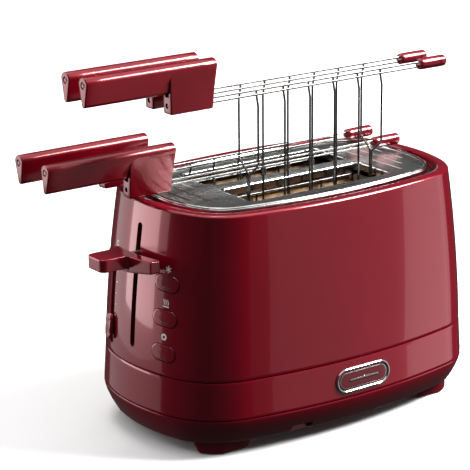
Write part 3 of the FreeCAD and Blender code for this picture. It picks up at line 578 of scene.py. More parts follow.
def buildBase():
    c, b = casing, base
    high, low = c["skirtBottom"] - c["seam"] / 2, c["baseBottom"]
    rows = [(low + c["wall"], 30.0), (low + c["wall"], 6.0), (low + c["wall"] + 2, c["wall"]),
            (high - 3, c["wall"]), (high, c["wall"]), (high, 0.5), (high - 0.12, 0.15), (high - 0.5, 0.0)]
    rows += [(z, 0.0) for z in np.linspace(high - 2, low + 1.4, 12)]
    rows += [(low + 0.7, 0.25), (low + 0.2, 0.75), (low, 1.5), (low, 12.0), (low, 40.0)]
    moulding = solid("baseBody", [outlineAt(z, inset) for z, inset in rows])
    edge = -(c["halfWidth"] - tuckAt(low)[1])
    cutters = [boxPiece("notchCut", (b["notch"][0], -95, low - 3),
                        (b["notch"][1], edge + 6, low + b["notchHeight"])),
               boxPiece("windowCut", (60, -b["trayHalf"], b["trayWindow"][0]),
                        (150, b["trayHalf"], b["trayWindow"][1]))]
    cut(moulding, cutters)
    smooth(moulding, 30)
    liners = [boxPiece("notchBack", (b["notch"][0] - 2, edge + 4, low),
                       (b["notch"][1] + 2, edge + 6, low + b["notchHeight"] + 2)),
              boxPiece("notchRoof", (b["notch"][0] - 2, edge - 1.0, low + b["notchHeight"]),
                       (b["notch"][1] + 2, edge + 6, low + b["notchHeight"] + 2))]
    feet = []
    for signX in (-1, 1):
        for signY in (-1, 1):
            rings = []
            for z, grow in ((b["footLow"], -1.2), (b["footLow"] + 0.35, -0.35), (b["footLow"] + 1.2, 0.2),
                            (low + 0.6, b["flare"])):
                shape = roundBox(b["footLength"] + grow, b["footWidth"] + grow, 2.0 + 0.2 * grow)
                rings.append([(signX * b["footAlong"] + u, signY * b["footAcross"] + v, z) for u, v in shape])
            foot = solid("foot", rings)
            block = solid("block", [outlineAt(0, b["setback"] + 0.6, low), outlineAt(1.6, b["setback"], low),
                                    outlineAt(10.5, b["setback"], low)])
            feet.append(cut(foot, [block], "INTERSECT"))
    for piece in liners + feet:
        smooth(piece, 35)
    return finishPiece(together("baseTray", [moulding] + liners + feet), "toaster", "red_gloss", "base_tray")


# the steel plate with both slots
plate = dict(gap=6.9, skirt=6.8, bead=3.0, beadHigh=1.2, slotHalf=64.0, slotWidth=38.8, slotMiddle=26.1, flange=6.0,
             rolled=1.6, slotCorner=5.0, grooveHalves=(41.0, 29.5, 17.5), grooveFirst=76.5, groovePitch=10.6,
             grooveWidth=1.8, grooveDeep=0.9)


def buildPlate():
    c, p = casing, plate
    top, inset = c["top"], c["rimWidth"] + p["gap"]
    ringRows = [(top - p["skirt"], inset + 1.0), (top - p["skirt"], inset + 0.1), (top - 1.2, inset),
                (top - 0.4, inset + 0.2), (top, inset + 0.6)]
    for angle in np.linspace(0, math.pi, 13)[1:-1]:
        ringRows.append((top + p["beadHigh"] * math.sin(angle),
                         inset + 0.6 + (p["bead"] - 0.6) * (1 - math.cos(angle)) / 2))
    ringRows += [(top, inset + p["bead"]), (top - 0.9, inset + p["bead"] + 0.4), (top - 1.0, inset + 1.2)]
    bead = band("plateBead", [outlineAt(z, i, c["top"]) for z, i in ringRows], "beadSteel")
    sheetRows = [(top - 1.0, inset + 1.5), (top, inset + 1.5)]
    sheet = solid("plateSheet", [outlineAt(z, i, c["top"]) for z, i in sheetRows], "plateSteel")
    cutters, flanges = [], []
    for side in (-1, 1):
        middle = side * p["slotMiddle"]
        grown = [[(u, middle + v, z) for u, v in roundBox(2 * (p["slotHalf"] + p["rolled"]),
                                                          p["slotWidth"] + 2 * p["rolled"],
                                                          p["slotCorner"] + p["rolled"])]
                 for z in (top - 3, top + 1)]
        cutters.append(solid("slotCut", grown, "plateSteel"))
        rings = []
        for angle in np.linspace(0, math.pi / 2, 7):
            back, drop = p["rolled"] * (1 - math.sin(angle)), p["rolled"] * (1 - math.cos(angle))
            rings.append((back, top - drop))
        rings += [(0, top - p["flange"]), (0.8, top - p["flange"]), (0.8, top - 2.2), (p["rolled"], top - 1.0)]
        lines = [[(u, middle + v, z) for u, v in roundBox(2 * (p["slotHalf"] + b), p["slotWidth"] + 2 * b,
                                                          p["slotCorner"] + b)] for b, z in rings]
        flanges.append(band("slotFlange", lines, "beadSteel"))
        for row, half in enumerate(p["grooveHalves"]):
            x = side * (p["grooveFirst"] + row * p["groovePitch"])
            width, deep = p["grooveWidth"], p["grooveDeep"]
            rings = [[(x + u, v, z) for u, v in oblong(w, 2 * half + w)] for w,
                     z in ((width * 0.45, top - deep), (width * 0.8, top - deep * 0.7), (width, top - 0.15),
                           (width + 0.35, top), (width + 0.4, top + 1))]
            cutters.append(solid("grooveCut", rings, "plateSteel"))
    cut(sheet, cutters)
    smooth(sheet, 40)
    whole = together("topPlate", [sheet, bead] + flanges)
    return finishPiece(whole, "toaster", "plate_steel", "top_plate")


# buttons, slider and printed marks
button = dict(lensWidth=7.6, lensTall=1.5, lensRight=0.6, lensDown=3.3, flange=2.4)


def buildButtons():
    k, b = controls, button
    rows = dict(defrost=1, reheat=0, bagel=-1)
    for body, row in rows.items():
        middle = row * k["buttonPitch"]
        levels = [(0, -5.0), (0, -0.5), (0, 0.12), (0.12, 0.34), (0.35, 0.46), (0.8, 0.5), (1.8, 0.5), (3.4, 0.48),
                  (5.0, 0.47), (5.8, 0.47)]
        cap = solid("cap", padRings(buttonPatch, k["buttonWidth"], k["buttonTall"], levels, (0, middle)),
                    "redGloss", 50)
        levels = [(0, 0.2), (0, 0.50), (0.15, 0.54), (0.7, 0.55)]
        rings = padRings(buttonPatch, b["lensWidth"], b["lensTall"], levels,
                         (b["lensRight"], middle - b["lensDown"]))
        lens = solid("lens", rings, "darkLens", 50)
        levels = [(0, -6.2), (0, -4.9), (2.0, -4.7)]
        rings = padRings(buttonPatch, k["buttonWidth"] + b["flange"], k["buttonTall"] + b["flange"], levels,
                         (0, middle))
        back = solid("back", rings, "redGloss", 50)
        finishPiece(together(body + "Button", [cap, lens, back]), body, "red_gloss", body + "_button")


def stroke(patch, start, end, width, lift=0.04):
    # a printed line that follows the casing
    start, end = np.array(start, float), np.array(end, float)
    way = end - start
    length = np.hypot(*way)
    way /= max(length, 1e-6)
    side = np.array([-way[1], way[0]]) * width / 2
    cuts = max(2, int(length / 0.8))
    points, faces = [], []
    for i in range(cuts + 1):
        spot = start + way * length * i / cuts
        points += [patch.on(*(spot + side), lift), patch.on(*(spot - side), lift)]
        if i:
            a = 2 * i
            faces.append((a - 2, a - 1, a + 1, a))
    return points, faces


def printedMark(name, patch, lines):
    pieces = []
    for start, end, width in lines:
        points, faces = stroke(patch, start, end, width)
        a, b, c = (Vector(points[corner]) for corner in faces[0][:3])
        if (b - a).cross(c - a).dot(Vector(patch.out)) < 0:
            faces = [face[::-1] for face in faces]
        pieces.append(newPiece("line", points, faces, "printWhite", turnOut=False))
    return finishPiece(together(name, pieces), "toaster", "red_gloss")


def arcLines(middle, radius, start, stop, count, width):
    spots = [(middle[0] + radius * math.cos(a), middle[1] + radius * math.sin(a))
             for a in np.radians(np.linspace(start, stop, count + 1))]
    return [(spots[i], spots[i + 1], width) for i in range(count)]


def buildMarks():
    size = 2.7
    frost = []
    middle = (0.5, 35.5)
    for turn in (90, 150, 30):
        way = np.array([math.cos(math.radians(turn)), math.sin(math.radians(turn))]) * size
        frost.append((np.array(middle) - way, np.array(middle) + way, 0.7))
    printedMark("markDefrost", buttonPatch, frost)
    middle = (0.5, 11.2)
    waves = [((middle[0] - 2.8, middle[1] - 2.6), (middle[0] + 2.8, middle[1] - 2.6), 0.9)]
    for shift in (-1.8, 0, 1.8):
        spots = [(middle[0] + shift + 0.45 * math.sin(t * math.pi * 1.6), middle[1] - 1.4 + t * 4.0)
                 for t in np.linspace(0, 1, 7)]
        waves += [(spots[i], spots[i + 1], 0.75) for i in range(6)]
    printedMark("markReheat", buttonPatch, waves)
    printedMark("markBagel", buttonPatch, arcLines((0.3, -13.6), 1.85, 0, 360, 20, 1.35))
    marks = arcLines((2.5, 41.5), 1.9, 20, 340, 12, 0.8) + [((-1.5, 37.0), (3.5, 37.0), 0.9),
                                                            ((0.0, 34.6), (4.5, 34.6), 0.9)]
    for step in range(6):
        z = -20 + step * 8.4
        marks.append(((5.2, z), (6.0 + 0.35 * step, z), 0.45))
    printedMark("markBrowning", sliderPatch, marks)


slider = dict(width=11.0, tall=20.0, proud=2.6, ribPitch=2.6, ribWidth=8.4, ribTall=1.2, grooveDeep=0.55,
              grooveSpan=7.2, lidIn=10.4, stemWidth=2.6, stemTall=8.0, stemDeep=11.0)


def buildSlider():
    k = slider
    low = -controls["sliderTravel"] / 2
    width, tall, proud, pitch = k["width"], k["tall"], k["proud"], k["ribPitch"]
    levels = [(0, 0.85), (0, proud - 0.5), (0.15, proud + 0.1), (0.5, proud + 0.5), (1.0, proud + 0.72),
              (1.8, proud + 0.8), (3.2, proud + 0.8), (5.3, proud + 0.8)]
    rings = []
    for inset, lift in levels:
        ring = []
        for u, v in oblong(width - 2 * inset, tall - 2 * inset, 20):
            groove = 0.0
            if inset > 0.3 and abs(v) < k["grooveSpan"]:
                groove = k["grooveDeep"] * max(0.0, math.cos(v / pitch * 2 * math.pi)) ** 3
            ring.append(sliderPatch.at(u, low + v, lift - groove))
        rings.append(ring)
    cap = newPiece("knobCap", *loft(rings, capFirst=True), "redGloss", 45)
    ribs = []
    for row in range(-2, 2):
        middle = low + row * pitch + 1.3
        line = [[sliderPatch.at(u, middle + v, lift) for u,
                 v in oblong(k["ribWidth"] - 2 * i, k["ribTall"] - 2 * i)] for i,
                lift in ((0, proud + 0.3), (0, proud + 0.72), (0.2, proud + 0.8), (0.55, proud + 0.82))]
        ribs.append(solid("rib", line, "redGloss", 45))
    rings = [[sliderPatch.at(u, low + v, lift) for u, v in oblong(width - k["lidIn"], tall - k["lidIn"])]
             for lift in (proud - 0.4, proud + 0.42)]
    lid = solid("lid", rings, "redGloss", 45)
    rings = [[sliderPatch.at(u, low + v, lift) for u, v in roundBox(k["stemWidth"], k["stemTall"], 0.5)]
             for lift in (-k["stemDeep"], 1.2)]
    stem = solid("stem", rings, "redGloss", 45)
    return finishPiece(together("browningKnob", [cap, lid, stem] + ribs), "browning", "red_gloss", "browning_knob")


# the knob on the lever
lever = dict(height=138.0, down=62.0, clearance=1.5, nearSpan=34.0, farSpan=14.0, wingThick=8.0, wingTip=8.8,
             knobHigh=12.4, rise=5.8, paddleHalf=10.5, paddleReach=29.0, paddleHigh=9.4, cornerRadius=4.6,
             fillet=2.6, blockHalf=11.0, voxel=0.42, smoothing=6)


def prism(name, outline, low, high):
    rings = [[(x, y, z) for x, y in outline] for z in (low, high)]
    return solid(name, rings)


def buildLeverKnob():
    k = lever
    tuckX = tuckAt(k["height"] - k["down"])[0]
    reach = casing["halfLength"] - tuckX + k["clearance"]
    inner = casing["endRadius"] + k["clearance"]
    top = k["height"] + k["rise"]
    centre = inner - reach

    def arc(radius, first, last, count=24):
        return [(centre - math.sqrt(radius ** 2 - y ** 2), y) for y in np.linspace(first, last, count)]

    front = inner + k["wingThick"]
    near, far = -k["nearSpan"], k["farSpan"]
    wings = arc(inner, near, far) + arc(front, far, near)
    tips = prism("wings", wings, top - k["knobHigh"], top)
    shave = []
    for side, span in ((-1, k["nearSpan"]), (1, k["farSpan"])):
        slope = [(side * k["paddleHalf"], top - k["knobHigh"]), (side * (span + 1), top - k["wingTip"]),
                 (side * (span + 1), top - 20), (side * k["paddleHalf"], top - 20)]
        rings = [[(x, y, z) for y, z in slope] for x in (-175.0, -120.0)]
        shave.append(solid("shave", rings))
    cut(tips, shave)
    wide = k["blockHalf"]
    block = prism("block", arc(inner, -wide, wide, 12) + arc(front, wide, -wide, 12), top - k["knobHigh"], top - 1)
    half, tip, bend = k["paddleHalf"], -reach - k["paddleReach"], k["cornerRadius"]
    edge, fillet = centre - front + 0.8, k["fillet"]
    outline = [(edge + 3, half + fillet)]
    for angle in np.radians(np.linspace(0, -90, 8)):
        outline.append((edge - fillet + fillet * math.cos(angle), half + fillet + fillet * math.sin(angle)))
    for angle in np.radians(np.linspace(90, 180, 8)):
        outline.append((tip + bend + bend * math.cos(angle), half - bend + bend * math.sin(angle)))
    outline = outline + [(x, -y) for x, y in outline[::-1]]
    paddle = prism("paddle", outline, top - k["paddleHigh"], top)
    cut(tips, [block, paddle], "UNION")
    grid = tips.modifiers.new("even", "REMESH")
    grid.mode, grid.voxel_size, grid.use_smooth_shade = "VOXEL", k["voxel"] * mm, True
    soft = tips.modifiers.new("soft", "SMOOTH")
    soft.factor, soft.iterations = 0.5, k["smoothing"]
    baked(tips)
    knob = together("leverKnob", [tips])
    smooth(knob, 60)
    return finishPiece(knob, "carriage", "red_gloss", "lever_knob")


tray = dict(left=-65.1, right=124.5, half=51.0, floor=13.2, sheet=0.3, lipHalf=51.95, lipLow=12.5, lipHigh=19.7,
            lipSheet=0.6)


def buildTray():
    # plated floor of the crumb pan and the red front that closes the end of the casing
    t = tray
    corners = [(t["left"], -t["half"]), (t["right"], -t["half"]), (t["right"], t["half"]), (t["left"], t["half"])]
    rings = [[(x, y, z) for x, y in corners] for z in (t["floor"] - 0.05, t["floor"] + t["sheet"])]
    finishPiece(solid("trayFloor", rings, "zinc"), "tray", "sheet_steel")
    rings = []
    for z in np.linspace(t["lipLow"], t["lipHigh"], 6):
        ring = []
        for inset, way in ((-0.05, 1), (t["lipSheet"], -1)):
            edge = outlineAt(z, inset)
            edge = edge[edge[:, 0] > 60]
            edge = edge[np.argsort(edge[:, 1])]
            for y in np.linspace(-t["lipHalf"], t["lipHalf"], 60)[::way]:
                ring.append((np.interp(y, edge[:, 1], edge[:, 0]), y, z))
        rings.append(ring)
    finishPiece(solid("trayLip", rings), "tray", "red_gloss")


# the badge on the skirt
badge = dict(x=4.5, z=42.6, width=50.0, tall=18.6, ring=2.3, proud=1.6, lineIn=1.8, barWidth=27.0, barTall=1.7)


def buildBadge():
    b = badge
    patch = frontPatch(b["x"], b["z"])
    w, t, r, h = b["width"], b["tall"], b["ring"], b["proud"]
    levels = [(0, -0.6), (0, h * 0.45), (0.18, h * 0.78), (0.6, h * 0.97), (1.1, h), (1.6, h * 0.93),
              (2.05, h * 0.66), (r, h * 0.3), (r, -0.6)]
    ring = band("badgeRing", padRings(patch, w, t, levels), "badgeChrome", 50)
    finishPiece(ring, "toaster", "badge_chrome", "badge_frame")
    w, t = w - 2 * r, t - 2 * r
    levels = [(0, -0.4), (0, 0.5), (0.5, 0.72), (2.2, 0.86), (5.0, 0.95), (6.9, 0.97)]
    field = solid("badgeField", padRings(patch, w, t, levels), "badgeRed", 50)
    levels = [(0, 0.6), (0, 0.88), (0.28, 0.98), (0.6, 0.92), (0.6, 0.6)]
    line = band("badgeLine", padRings(patch, w - b["lineIn"], t - b["lineIn"], levels), "badgeChrome", 50)
    levels = [(0, 0.7), (0, 1.12), (0.3, 1.3), (0.8, 1.32)]
    bar = solid("badgeBar", padRings(patch, b["barWidth"], b["barTall"], levels), "badgeChrome", 50)
    finishPiece(together("badgePlate", [field, line, bar]), "toaster", "badge_red", "badge_plate")


# the two sandwich cages
cage = dict(depth=100.0, seat=184.6, raised=68.0, shift=4.0, openAngle=3.0, railOffset=11.0, railSpacing=3.2,
            railRadius=0.95, wireRadius=0.8, wirePitch=22.5, wireCount=6, jog=2.0, jogDrop=8.0, hookTip=5.2,
            endWireIn=2.4, jogTop=47.0, jogLow=38.0, eyeStagger=1.15, eyeRadius=2.5, eyeWire=0.92, railLeft=-112.0,
            railRight=108.0, capLeft=92.0, capRight=116.5, capRadius=4.4, barLeft=-200.0, barRight=-94.0,
            barLow=9.0, barHigh=21.0, barTop=5.6, barFoot=2.6, legLeft=-133.0, legRight=-97.5, legLow=-5.0,
            legThick=9.4, legLean=2.5, legCorner=1.6, footHigh=2.5, pocketHalf=2.4, pocketLow=12.0, pocketHigh=19.0,
            pocketDeep=5.0, screwUp=6.0, screwHole=1.9, screwDeep=9.0, dimple=2.6, dimpleCore=1.3, dimpleDeep=0.8)


def wireTree():
    # curves from edges, rounded bends, then a round wire of even radius
    tree = bpy.data.node_groups.new("bentWire", "GeometryNodeTree")
    face = tree.interface
    face.new_socket("Path", in_out="INPUT", socket_type="NodeSocketGeometry")
    for name, value in (("Wire radius", 0.0008), ("Bend radius", 0.003)):
        face.new_socket(name, in_out="INPUT", socket_type="NodeSocketFloat").default_value = value
    face.new_socket("Sides", in_out="INPUT", socket_type="NodeSocketInt").default_value = 12
    face.new_socket("Finish", in_out="INPUT", socket_type="NodeSocketMaterial")
    face.new_socket("Wire", in_out="OUTPUT", socket_type="NodeSocketGeometry")
    add, link = tree.nodes.new, tree.links.new
    start, end = add("NodeGroupInput"), add("NodeGroupOutput")
    curve, bend = add("GeometryNodeMeshToCurve"), add("GeometryNodeFilletCurve")
    ring, tube = add("GeometryNodeCurvePrimitiveCircle"), add("GeometryNodeCurveToMesh")
    whole, paint = add("GeometryNodeRealizeInstances"), add("GeometryNodeSetMaterial")
    shade = add("GeometryNodeSetShadeSmooth")
    bend.mode = "POLY"
    bend.inputs["Count"].default_value = 5
    bend.inputs["Limit Radius"].default_value = True
    tube.inputs["Fill Caps"].default_value = True
    link(start.outputs["Path"], curve.inputs["Mesh"])
    link(curve.outputs["Curve"], bend.inputs["Curve"])
    link(start.outputs["Bend radius"], bend.inputs["Radius"])
    link(start.outputs["Wire radius"], ring.inputs["Radius"])
    link(start.outputs["Sides"], ring.inputs["Resolution"])
    link(bend.outputs["Curve"], tube.inputs["Curve"])
    link(ring.outputs["Curve"], tube.inputs["Profile Curve"])
    link(tube.outputs["Mesh"], shade.inputs["Geometry"])
    link(shade.outputs["Geometry"], whole.inputs["Geometry"])
    link(whole.outputs["Geometry"], paint.inputs["Geometry"])
    link(start.outputs["Finish"], paint.inputs["Material"])
    link(paint.outputs["Geometry"], end.inputs["Wire"])
    return tree


bentWire = wireTree()


def wires(name, lines, radius, bend, sides=12):
    points, edges = [], []
    for line in lines:
        first = len(points)
        points += [tuple(float(part) * mm for part in point) for point in line]
        edges += [(first + i, first + i + 1) for i in range(len(line) - 1)]
    mesh = bpy.data.meshes.new(name)
    mesh.from_pydata(points, edges, [])
    piece = bpy.data.objects.new(name, mesh)
    bpy.context.scene.collection.objects.link(piece)
    change = piece.modifiers.new("wire", "NODES")
    change.node_group = bentWire
    values = {"Wire radius": radius * mm, "Bend radius": bend * mm, "Sides": sides,
              "Finish": finishes["chromeWirePaintedShade"]}
    for item in bentWire.interface.items_tree:
        if item.in_out == "INPUT" and item.name in values:
            change[item.identifier] = values[item.name]
    baked(piece)
    if not piece.data.materials:
        piece.data.materials.append(finishes["chromeWirePaintedShade"])
    made = bmesh.new()
    made.from_mesh(piece.data)
    bmesh.ops.recalc_face_normals(made, faces=made.faces)
    made.to_mesh(piece.data)
    made.free()
    smooth(piece, 40)
    return piece


def gridLines(side):
    g = cage
    y, out, depth = side * g["railOffset"], side * (g["railOffset"] + g["jog"]), g["depth"]
    high, low = depth + g["railSpacing"] / 2, depth - g["railSpacing"] / 2
    first = -(g["wireCount"] - 1) / 2 * g["wirePitch"]
    rails = [[(g["railLeft"], y, z), (g["railRight"], y, z)] for z in (low, high)]
    hanging = []
    for i in range(1, g["wireCount"] - 1):
        x = first + i * g["wirePitch"]
        hanging.append([(x, y, high), (x, y, low), (x, out, low - g["jogDrop"]), (x, out, g["footHigh"]),
                        (x, side * g["hookTip"], g["footHigh"])])
    for end in (-1, 1):
        x, eyeY = -end * first + side * g["eyeStagger"], side * g["endWireIn"]
        hanging.append([(x, y, high), (x, y, low), (x, out, low - g["jogDrop"]), (x, out, g["jogTop"]),
                        (x, eyeY, g["jogLow"]), (x, eyeY, 0)])
    reach = -first - g["wirePitch"]
    foot = [[(-reach, out, g["footHigh"]), (reach, out, g["footHigh"])]]
    eyes = []
    for end in (-1, 1):
        x = -end * first + side * g["eyeStagger"]
        turn = np.linspace(0, 2 * math.pi, 29)
        eyes.append([(x, g["eyeRadius"] * math.cos(a), g["eyeRadius"] * math.sin(a)) for a in turn])
    return rails, hanging, foot, eyes


def barRing(x, inset):
    g = cage
    low, high = g["depth"] + g["barLow"] + g["barFoot"], g["depth"] + g["barLow"] + g["barHigh"] - g["barTop"]
    lean = math.asin((g["barTop"] - g["barFoot"]) / (high - low))
    ring = []
    for angle in np.linspace(lean, math.pi - lean, 25):
        ring.append((x, (g["barTop"] - inset) * math.cos(angle), high + (g["barTop"] - inset) * math.sin(angle)))
    for angle in np.linspace(math.pi - lean, 2 * math.pi + lean, 17):
        ring.append((x, (g["barFoot"] - inset) * math.cos(angle), low + (g["barFoot"] - inset) * math.sin(angle)))
    return ring


def tubeCutter(left, right, z, radius, count=20, core=0.0):
    # a round bar along X, or a tube where it has a core
    def circle(x, r):
        turns = np.linspace(0, 2 * math.pi, count, endpoint=False)
        return [(x, r * math.cos(a), z + r * math.sin(a)) for a in turns]
    if core:
        return band("tube", [circle(left, radius), circle(right, radius), circle(right, core), circle(left, core)],
                    "redHandle")
    return solid("rod", [circle(left, radius), circle(right, radius)], "redHandle")


def buildHandle():
    g = cage
    rings = [barRing(g["barLeft"] + x, i) for x, i in ((0, 0.9), (0.12, 0.5), (0.45, 0.14), (0.9, 0.0))]
    rings += [barRing(x, 0.0) for x in np.linspace(g["barLeft"] + 12, g["barRight"] - 12, 8)]
    rings += [barRing(g["barRight"] - x, i) for x, i in ((0.9, 0.0), (0.45, 0.14), (0.12, 0.5), (0, 0.9))]
    bar = solid("bar", rings, "redHandle")
    low, joint = g["depth"] + g["legLow"], g["depth"] + g["barLow"] + g["barHigh"] - g["barTop"] - 2
    legRings, half = [], g["legThick"] / 2
    softened = ((1.1, half), (0.5, half - 0.15), (0.15, half - 0.5), (0.0, half - 1.1))
    for i, y in [(i, -y) for i, y in softened] + list(softened[::-1]):
        corners = [(g["legLeft"] + i, low + i), (g["legRight"] - i, low + i),
                   (g["legRight"] + g["legLean"] - i, joint), (g["legLeft"] + i, joint)]
        ring = []
        for n, (x, z) in enumerate(corners):
            if n in (0, 1):
                r = g["legCorner"]
                before, after = np.array(corners[n - 1]), np.array(corners[(n + 1) % 4])
                here = np.array((x, z))
                a, b = before - here, after - here
                a, b = a / np.linalg.norm(a), b / np.linalg.norm(b)
                for t in np.linspace(0, 1, 6):
                    ring.append(tuple(here + a * r * (1 - t) ** 2 + b * r * t ** 2))
            else:
                ring.append((x, z))
        legRings.append([(x, y, z) for x, z in ring])
    leg = solid("leg", legRings, "redHandle")
    high = joint + 2
    pocket = boxPiece("pocket", (g["legLeft"] - 1, -g["pocketHalf"], low + g["pocketLow"]),
                      (g["legLeft"] + g["pocketDeep"], g["pocketHalf"], low + g["pocketHigh"]))
    screwHole = tubeCutter(g["legLeft"] - 1, g["legLeft"] + g["screwDeep"], low + g["screwUp"], g["screwHole"])
    dimple = tubeCutter(g["barLeft"] - 1, g["barLeft"] + g["dimpleDeep"], high, g["dimple"], 28, g["dimpleCore"])
    cut(bar, [leg], "UNION")
    cut(bar, [pocket, screwHole, dimple])
    smooth(bar, 30)
    return bar


def buildCap():
    g = cage
    profile = [(g["capLeft"], 1.2), (g["capLeft"], 3.4), (g["capLeft"] + 0.25, 3.95), (g["capLeft"] + 0.9, 4.25),
               (g["capLeft"] + 2.5, g["capRadius"] - 0.05), (g["capRight"] - 7.0, g["capRadius"]),
               (g["capRight"] - 6.7, g["capRadius"] - 0.35), (g["capRight"] - 6.1, g["capRadius"] - 0.35),
               (g["capRight"] - 5.8, g["capRadius"]), (g["capRight"] - 1.9, g["capRadius"])]
    for angle in np.radians([20, 40, 60, 78]):
        profile.append((g["capRight"] - 1.9 * (1 - math.sin(angle)), g["capRadius"] - 1.9 * (1 - math.cos(angle))))
    profile.append((g["capRight"], 1.4))
    rings = [[(x, r * math.cos(a), g["depth"] + r * math.sin(a))
              for a in np.linspace(0, 2 * math.pi, 36, endpoint=False)] for x, r in profile]
    return solid("cap", rings, "redHandle", 40)


def screwHead():
    g = cage
    x, z = g["legLeft"], g["depth"] + g["legLow"] + g["screwUp"]
    profile = [(x + 6.0, 1.4), (x + 1.4, 1.4), (x + 1.15, 1.2), (x + 1.0, 0.8), (x + 1.0, 0.45), (x + 1.5, 0.4)]
    rings = [[(px, r * math.cos(a), z + r * math.sin(a)) for a in np.linspace(0, 2 * math.pi, 24, endpoint=False)]
             for px, r in profile]
    return solid("screw", rings, "zinc", 40)


def buildCages():
    g = cage
    handle, cap, screw = buildHandle(), buildCap(), screwHead()
    places = (("front", -plate["slotMiddle"], g["shift"], g["raised"], 0.0),
              ("rear", plate["slotMiddle"], 0.0, 0.0, g["openAngle"]))
    fittings = ((handle, "Handle", "red_handle", "handle"), (cap, "Cap", "red_handle", "cap"),
                (screw, "Screw", "sheet_steel", "screw"))
    for label, middle, shift, raised, angle in places:
        for word, side in (("near", -1), ("far", 1)):
            pivot = Vector((shift, middle, g["seat"] - g["depth"] + raised)) * mm
            place = Matrix.Translation(pivot) @ Matrix.Rotation(math.radians(-side * angle), 4, "X")
            offset = Matrix.Translation(Vector((0, side * g["railOffset"], 0)) * mm)
            body = label + "_" + word
            for source, kind, slotName, node in fittings:
                copy = bpy.data.objects.new(label + word.capitalize() + kind, source.data.copy())
                bpy.context.scene.collection.objects.link(copy)
                copy.data.transform(place @ offset)
                finishPiece(copy, body, slotName, label + "_cage_" + node + "_" + word)
            rails, hanging, foot, eyes = gridLines(side)
            parts = [wires("rails", rails, g["railRadius"], 0.5, 14),
                     wires("hanging", hanging, g["wireRadius"], 3.0), wires("foot", foot, g["wireRadius"], 0.5),
                     wires("eyes", eyes, g["eyeWire"], 0.0)]
            grid = together(label + word.capitalize() + "Grid", parts)
            grid.data.transform(place)
            finishPiece(grid, body, "chrome_wire", label + "_cage_grid_" + word)
    for source in (handle, cap, screw):
        bpy.data.objects.remove(source)


# build every piece in turn
buildShell()
print("shell done")
buildSkirt()
buildBase()
print("skirt and base done")
buildPlate()
print("plate done")
buildButtons()
buildSlider()
buildMarks()
print("controls done")
buildLeverKnob()
buildTray()
buildBadge()
print("lever and badge done")
buildCages()
print("cages done")

bySlot = dict(red_gloss="redGloss", red_handle="redHandle", plate_steel="plateSteel", chrome_wire="chromeWirePaintedShade",
              badge_chrome="badgeChrome", badge_red="badgeRed", black_plastic="blackPlastic",
              rubber_pad="rubberPad", mica="mica", nichrome="nichrome", copper_coil="copper", board_green="board",
              sheet_steel="zinc")
slotOf = {row["node"]: row["material_slot"] for row in frame["record"]["subparts"]}
for node, piece in frame["nodes"].items():
    paint = finishes[bySlot[slotOf[node]]]
    if piece.material_slots:
        for each in piece.material_slots:
            each.material = paint
    else:
        piece.data.materials.append(paint)
print("frame pieces painted:", len(frame["nodes"]))


# floor, light and camera
# each panel is azimuth, distance, width, lowest, highest, power, in metres, degrees and watts
studio = dict(floorSize=14.0, domeHigh=1.3, domeLow=0.04, glow=8.5, key=150.0, back=30.0,
              left=dict(leftPanel=(38, 1.3, 1.38, -0.3, 1.3, 5.0), leftLow=(38, 1.3, 1.38, -0.62, -0.3, 0.5)),
              right=dict(rightPanel=(224, 1.7, 1.95, -0.7, 1.1, 2.4), rightWide=(221, 1.75, 2.15, -0.7, 1.0, 0.72),
                         rightHigh=(246, 1.65, 0.9, -0.6, 1.0, 3.0), edgePanel=(318, 1.4, 0.7, -0.6, 0.3, 3.5)))


def buildFloor():
    half = studio["floorSize"] / 2
    mesh = bpy.data.meshes.new("floor")
    mesh.from_pydata([(-half, -half, 0), (half, -half, 0), (half, half, 0), (-half, half, 0)], [], [(0, 1, 2, 3)])
    floor = bpy.data.objects.new("floor", mesh)
    bpy.context.scene.collection.objects.link(floor)
    made = Finish("paleFloor", (0.86, 0.86, 0.86))
    made.shader.inputs["Specular IOR Level"].default_value = 0.1
    made.feed("Roughness", 0.75 + 0.1 * made.noise(30, 3))
    mesh.materials.append(made.material)
    floor.visible_glossy = False
    floor.visible_diffuse = False


def softbox(name, azimuth, distance, width, low, high, power):
    # an upright panel, azimuth measured from +Y towards -X
    turn = math.radians(azimuth)
    middle = Vector((-math.sin(turn) * distance, math.cos(turn) * distance, (low + high) / 2))
    light = bpy.data.lights.new(name, "AREA")
    light.shape, light.size, light.size_y, light.energy = "RECTANGLE", width, high - low, power
    panel = bpy.data.objects.new(name, light)
    panel.location = middle
    panel.rotation_euler = Vector((middle.x, middle.y, 0)).to_track_quat("Z", "Y").to_euler()
    panel.visible_camera = False
    bpy.context.scene.collection.objects.link(panel)


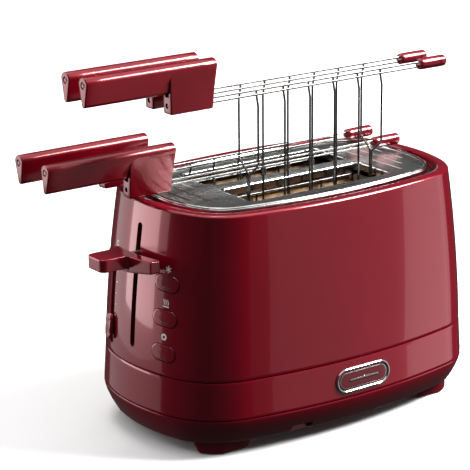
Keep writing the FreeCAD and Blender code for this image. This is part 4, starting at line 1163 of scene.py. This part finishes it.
def overhead(name, place, size, power):
    # a square panel that looks at the middle of the casing
    light = bpy.data.lights.new(name, "AREA")
    light.size, light.energy = size, power
    panel = bpy.data.objects.new(name, light)
    panel.location = place
    panel.rotation_euler = (Vector(place) - Vector((0, 0, 0.1))).to_track_quat("Z", "Y").to_euler()
    panel.visible_camera = False
    bpy.context.scene.collection.objects.link(panel)


def buildLight():
    s = studio
    world = bpy.data.worlds.new("studio")
    bpy.context.scene.world = world
    world.use_nodes = True
    tree = world.node_tree
    back = tree.nodes["Background"]
    where = tree.nodes.new("ShaderNodeTexCoord")
    split = tree.nodes.new("ShaderNodeSeparateXYZ")
    tree.links.new(where.outputs["Generated"], split.inputs[0])
    up = Term(tree, split.outputs["Z"]).above(0.62, 0.84)
    tree.links.new((up * (s["domeHigh"] - s["domeLow"]) + s["domeLow"]).socket, back.inputs["Strength"])
    back.inputs["Color"].default_value = (1, 1, 1, 1)
    for name, panel in s["left"].items():
        softbox(name, *panel)
    # the bright middle of the left panel fades out in four steps
    for size in (0.62, 0.46, 0.31, 0.17):
        softbox("leftGlow", 45, 1.25, size, 0.40 - 0.95 * size, 0.75 + 0.6 * size, s["glow"] * size)
    for name, panel in s["right"].items():
        softbox(name, *panel)
    overhead("key", (1.5, -1.0, 1.7), 0.9, s["key"])
    overhead("back", (-0.3, 0.7, 2.9), 1.1, s["back"])
    bpy.context.scene.view_settings.view_transform = "Standard"


view = dict(place=(-0.92771, -1.21500, 0.59101), turn=35.9731, down=16.7920, roll=-0.43661, lens=164.457)


def buildCamera():
    turn, down, roll = (math.radians(view[key]) for key in ("turn", "down", "roll"))
    ahead = Vector((math.sin(turn) * math.cos(down), math.cos(turn) * math.cos(down), -math.sin(down)))
    level = Vector((math.cos(turn), -math.sin(turn), 0))
    above = level.cross(ahead)
    right = level * math.cos(roll) + above * math.sin(roll)
    up = above * math.cos(roll) - level * math.sin(roll)
    data = bpy.data.cameras.new("camera")
    data.lens, data.sensor_width = view["lens"], 36.0
    data.clip_start, data.clip_end = 0.05, 50.0
    camera = bpy.data.objects.new("camera", data)
    camera.matrix_world = Matrix((right, up, -ahead)).transposed().to_4x4()
    camera.location = view["place"]
    bpy.context.scene.collection.objects.link(camera)
    bpy.context.scene.camera = camera


buildFloor()
buildLight()
buildCamera()
print("floor, light and camera done")
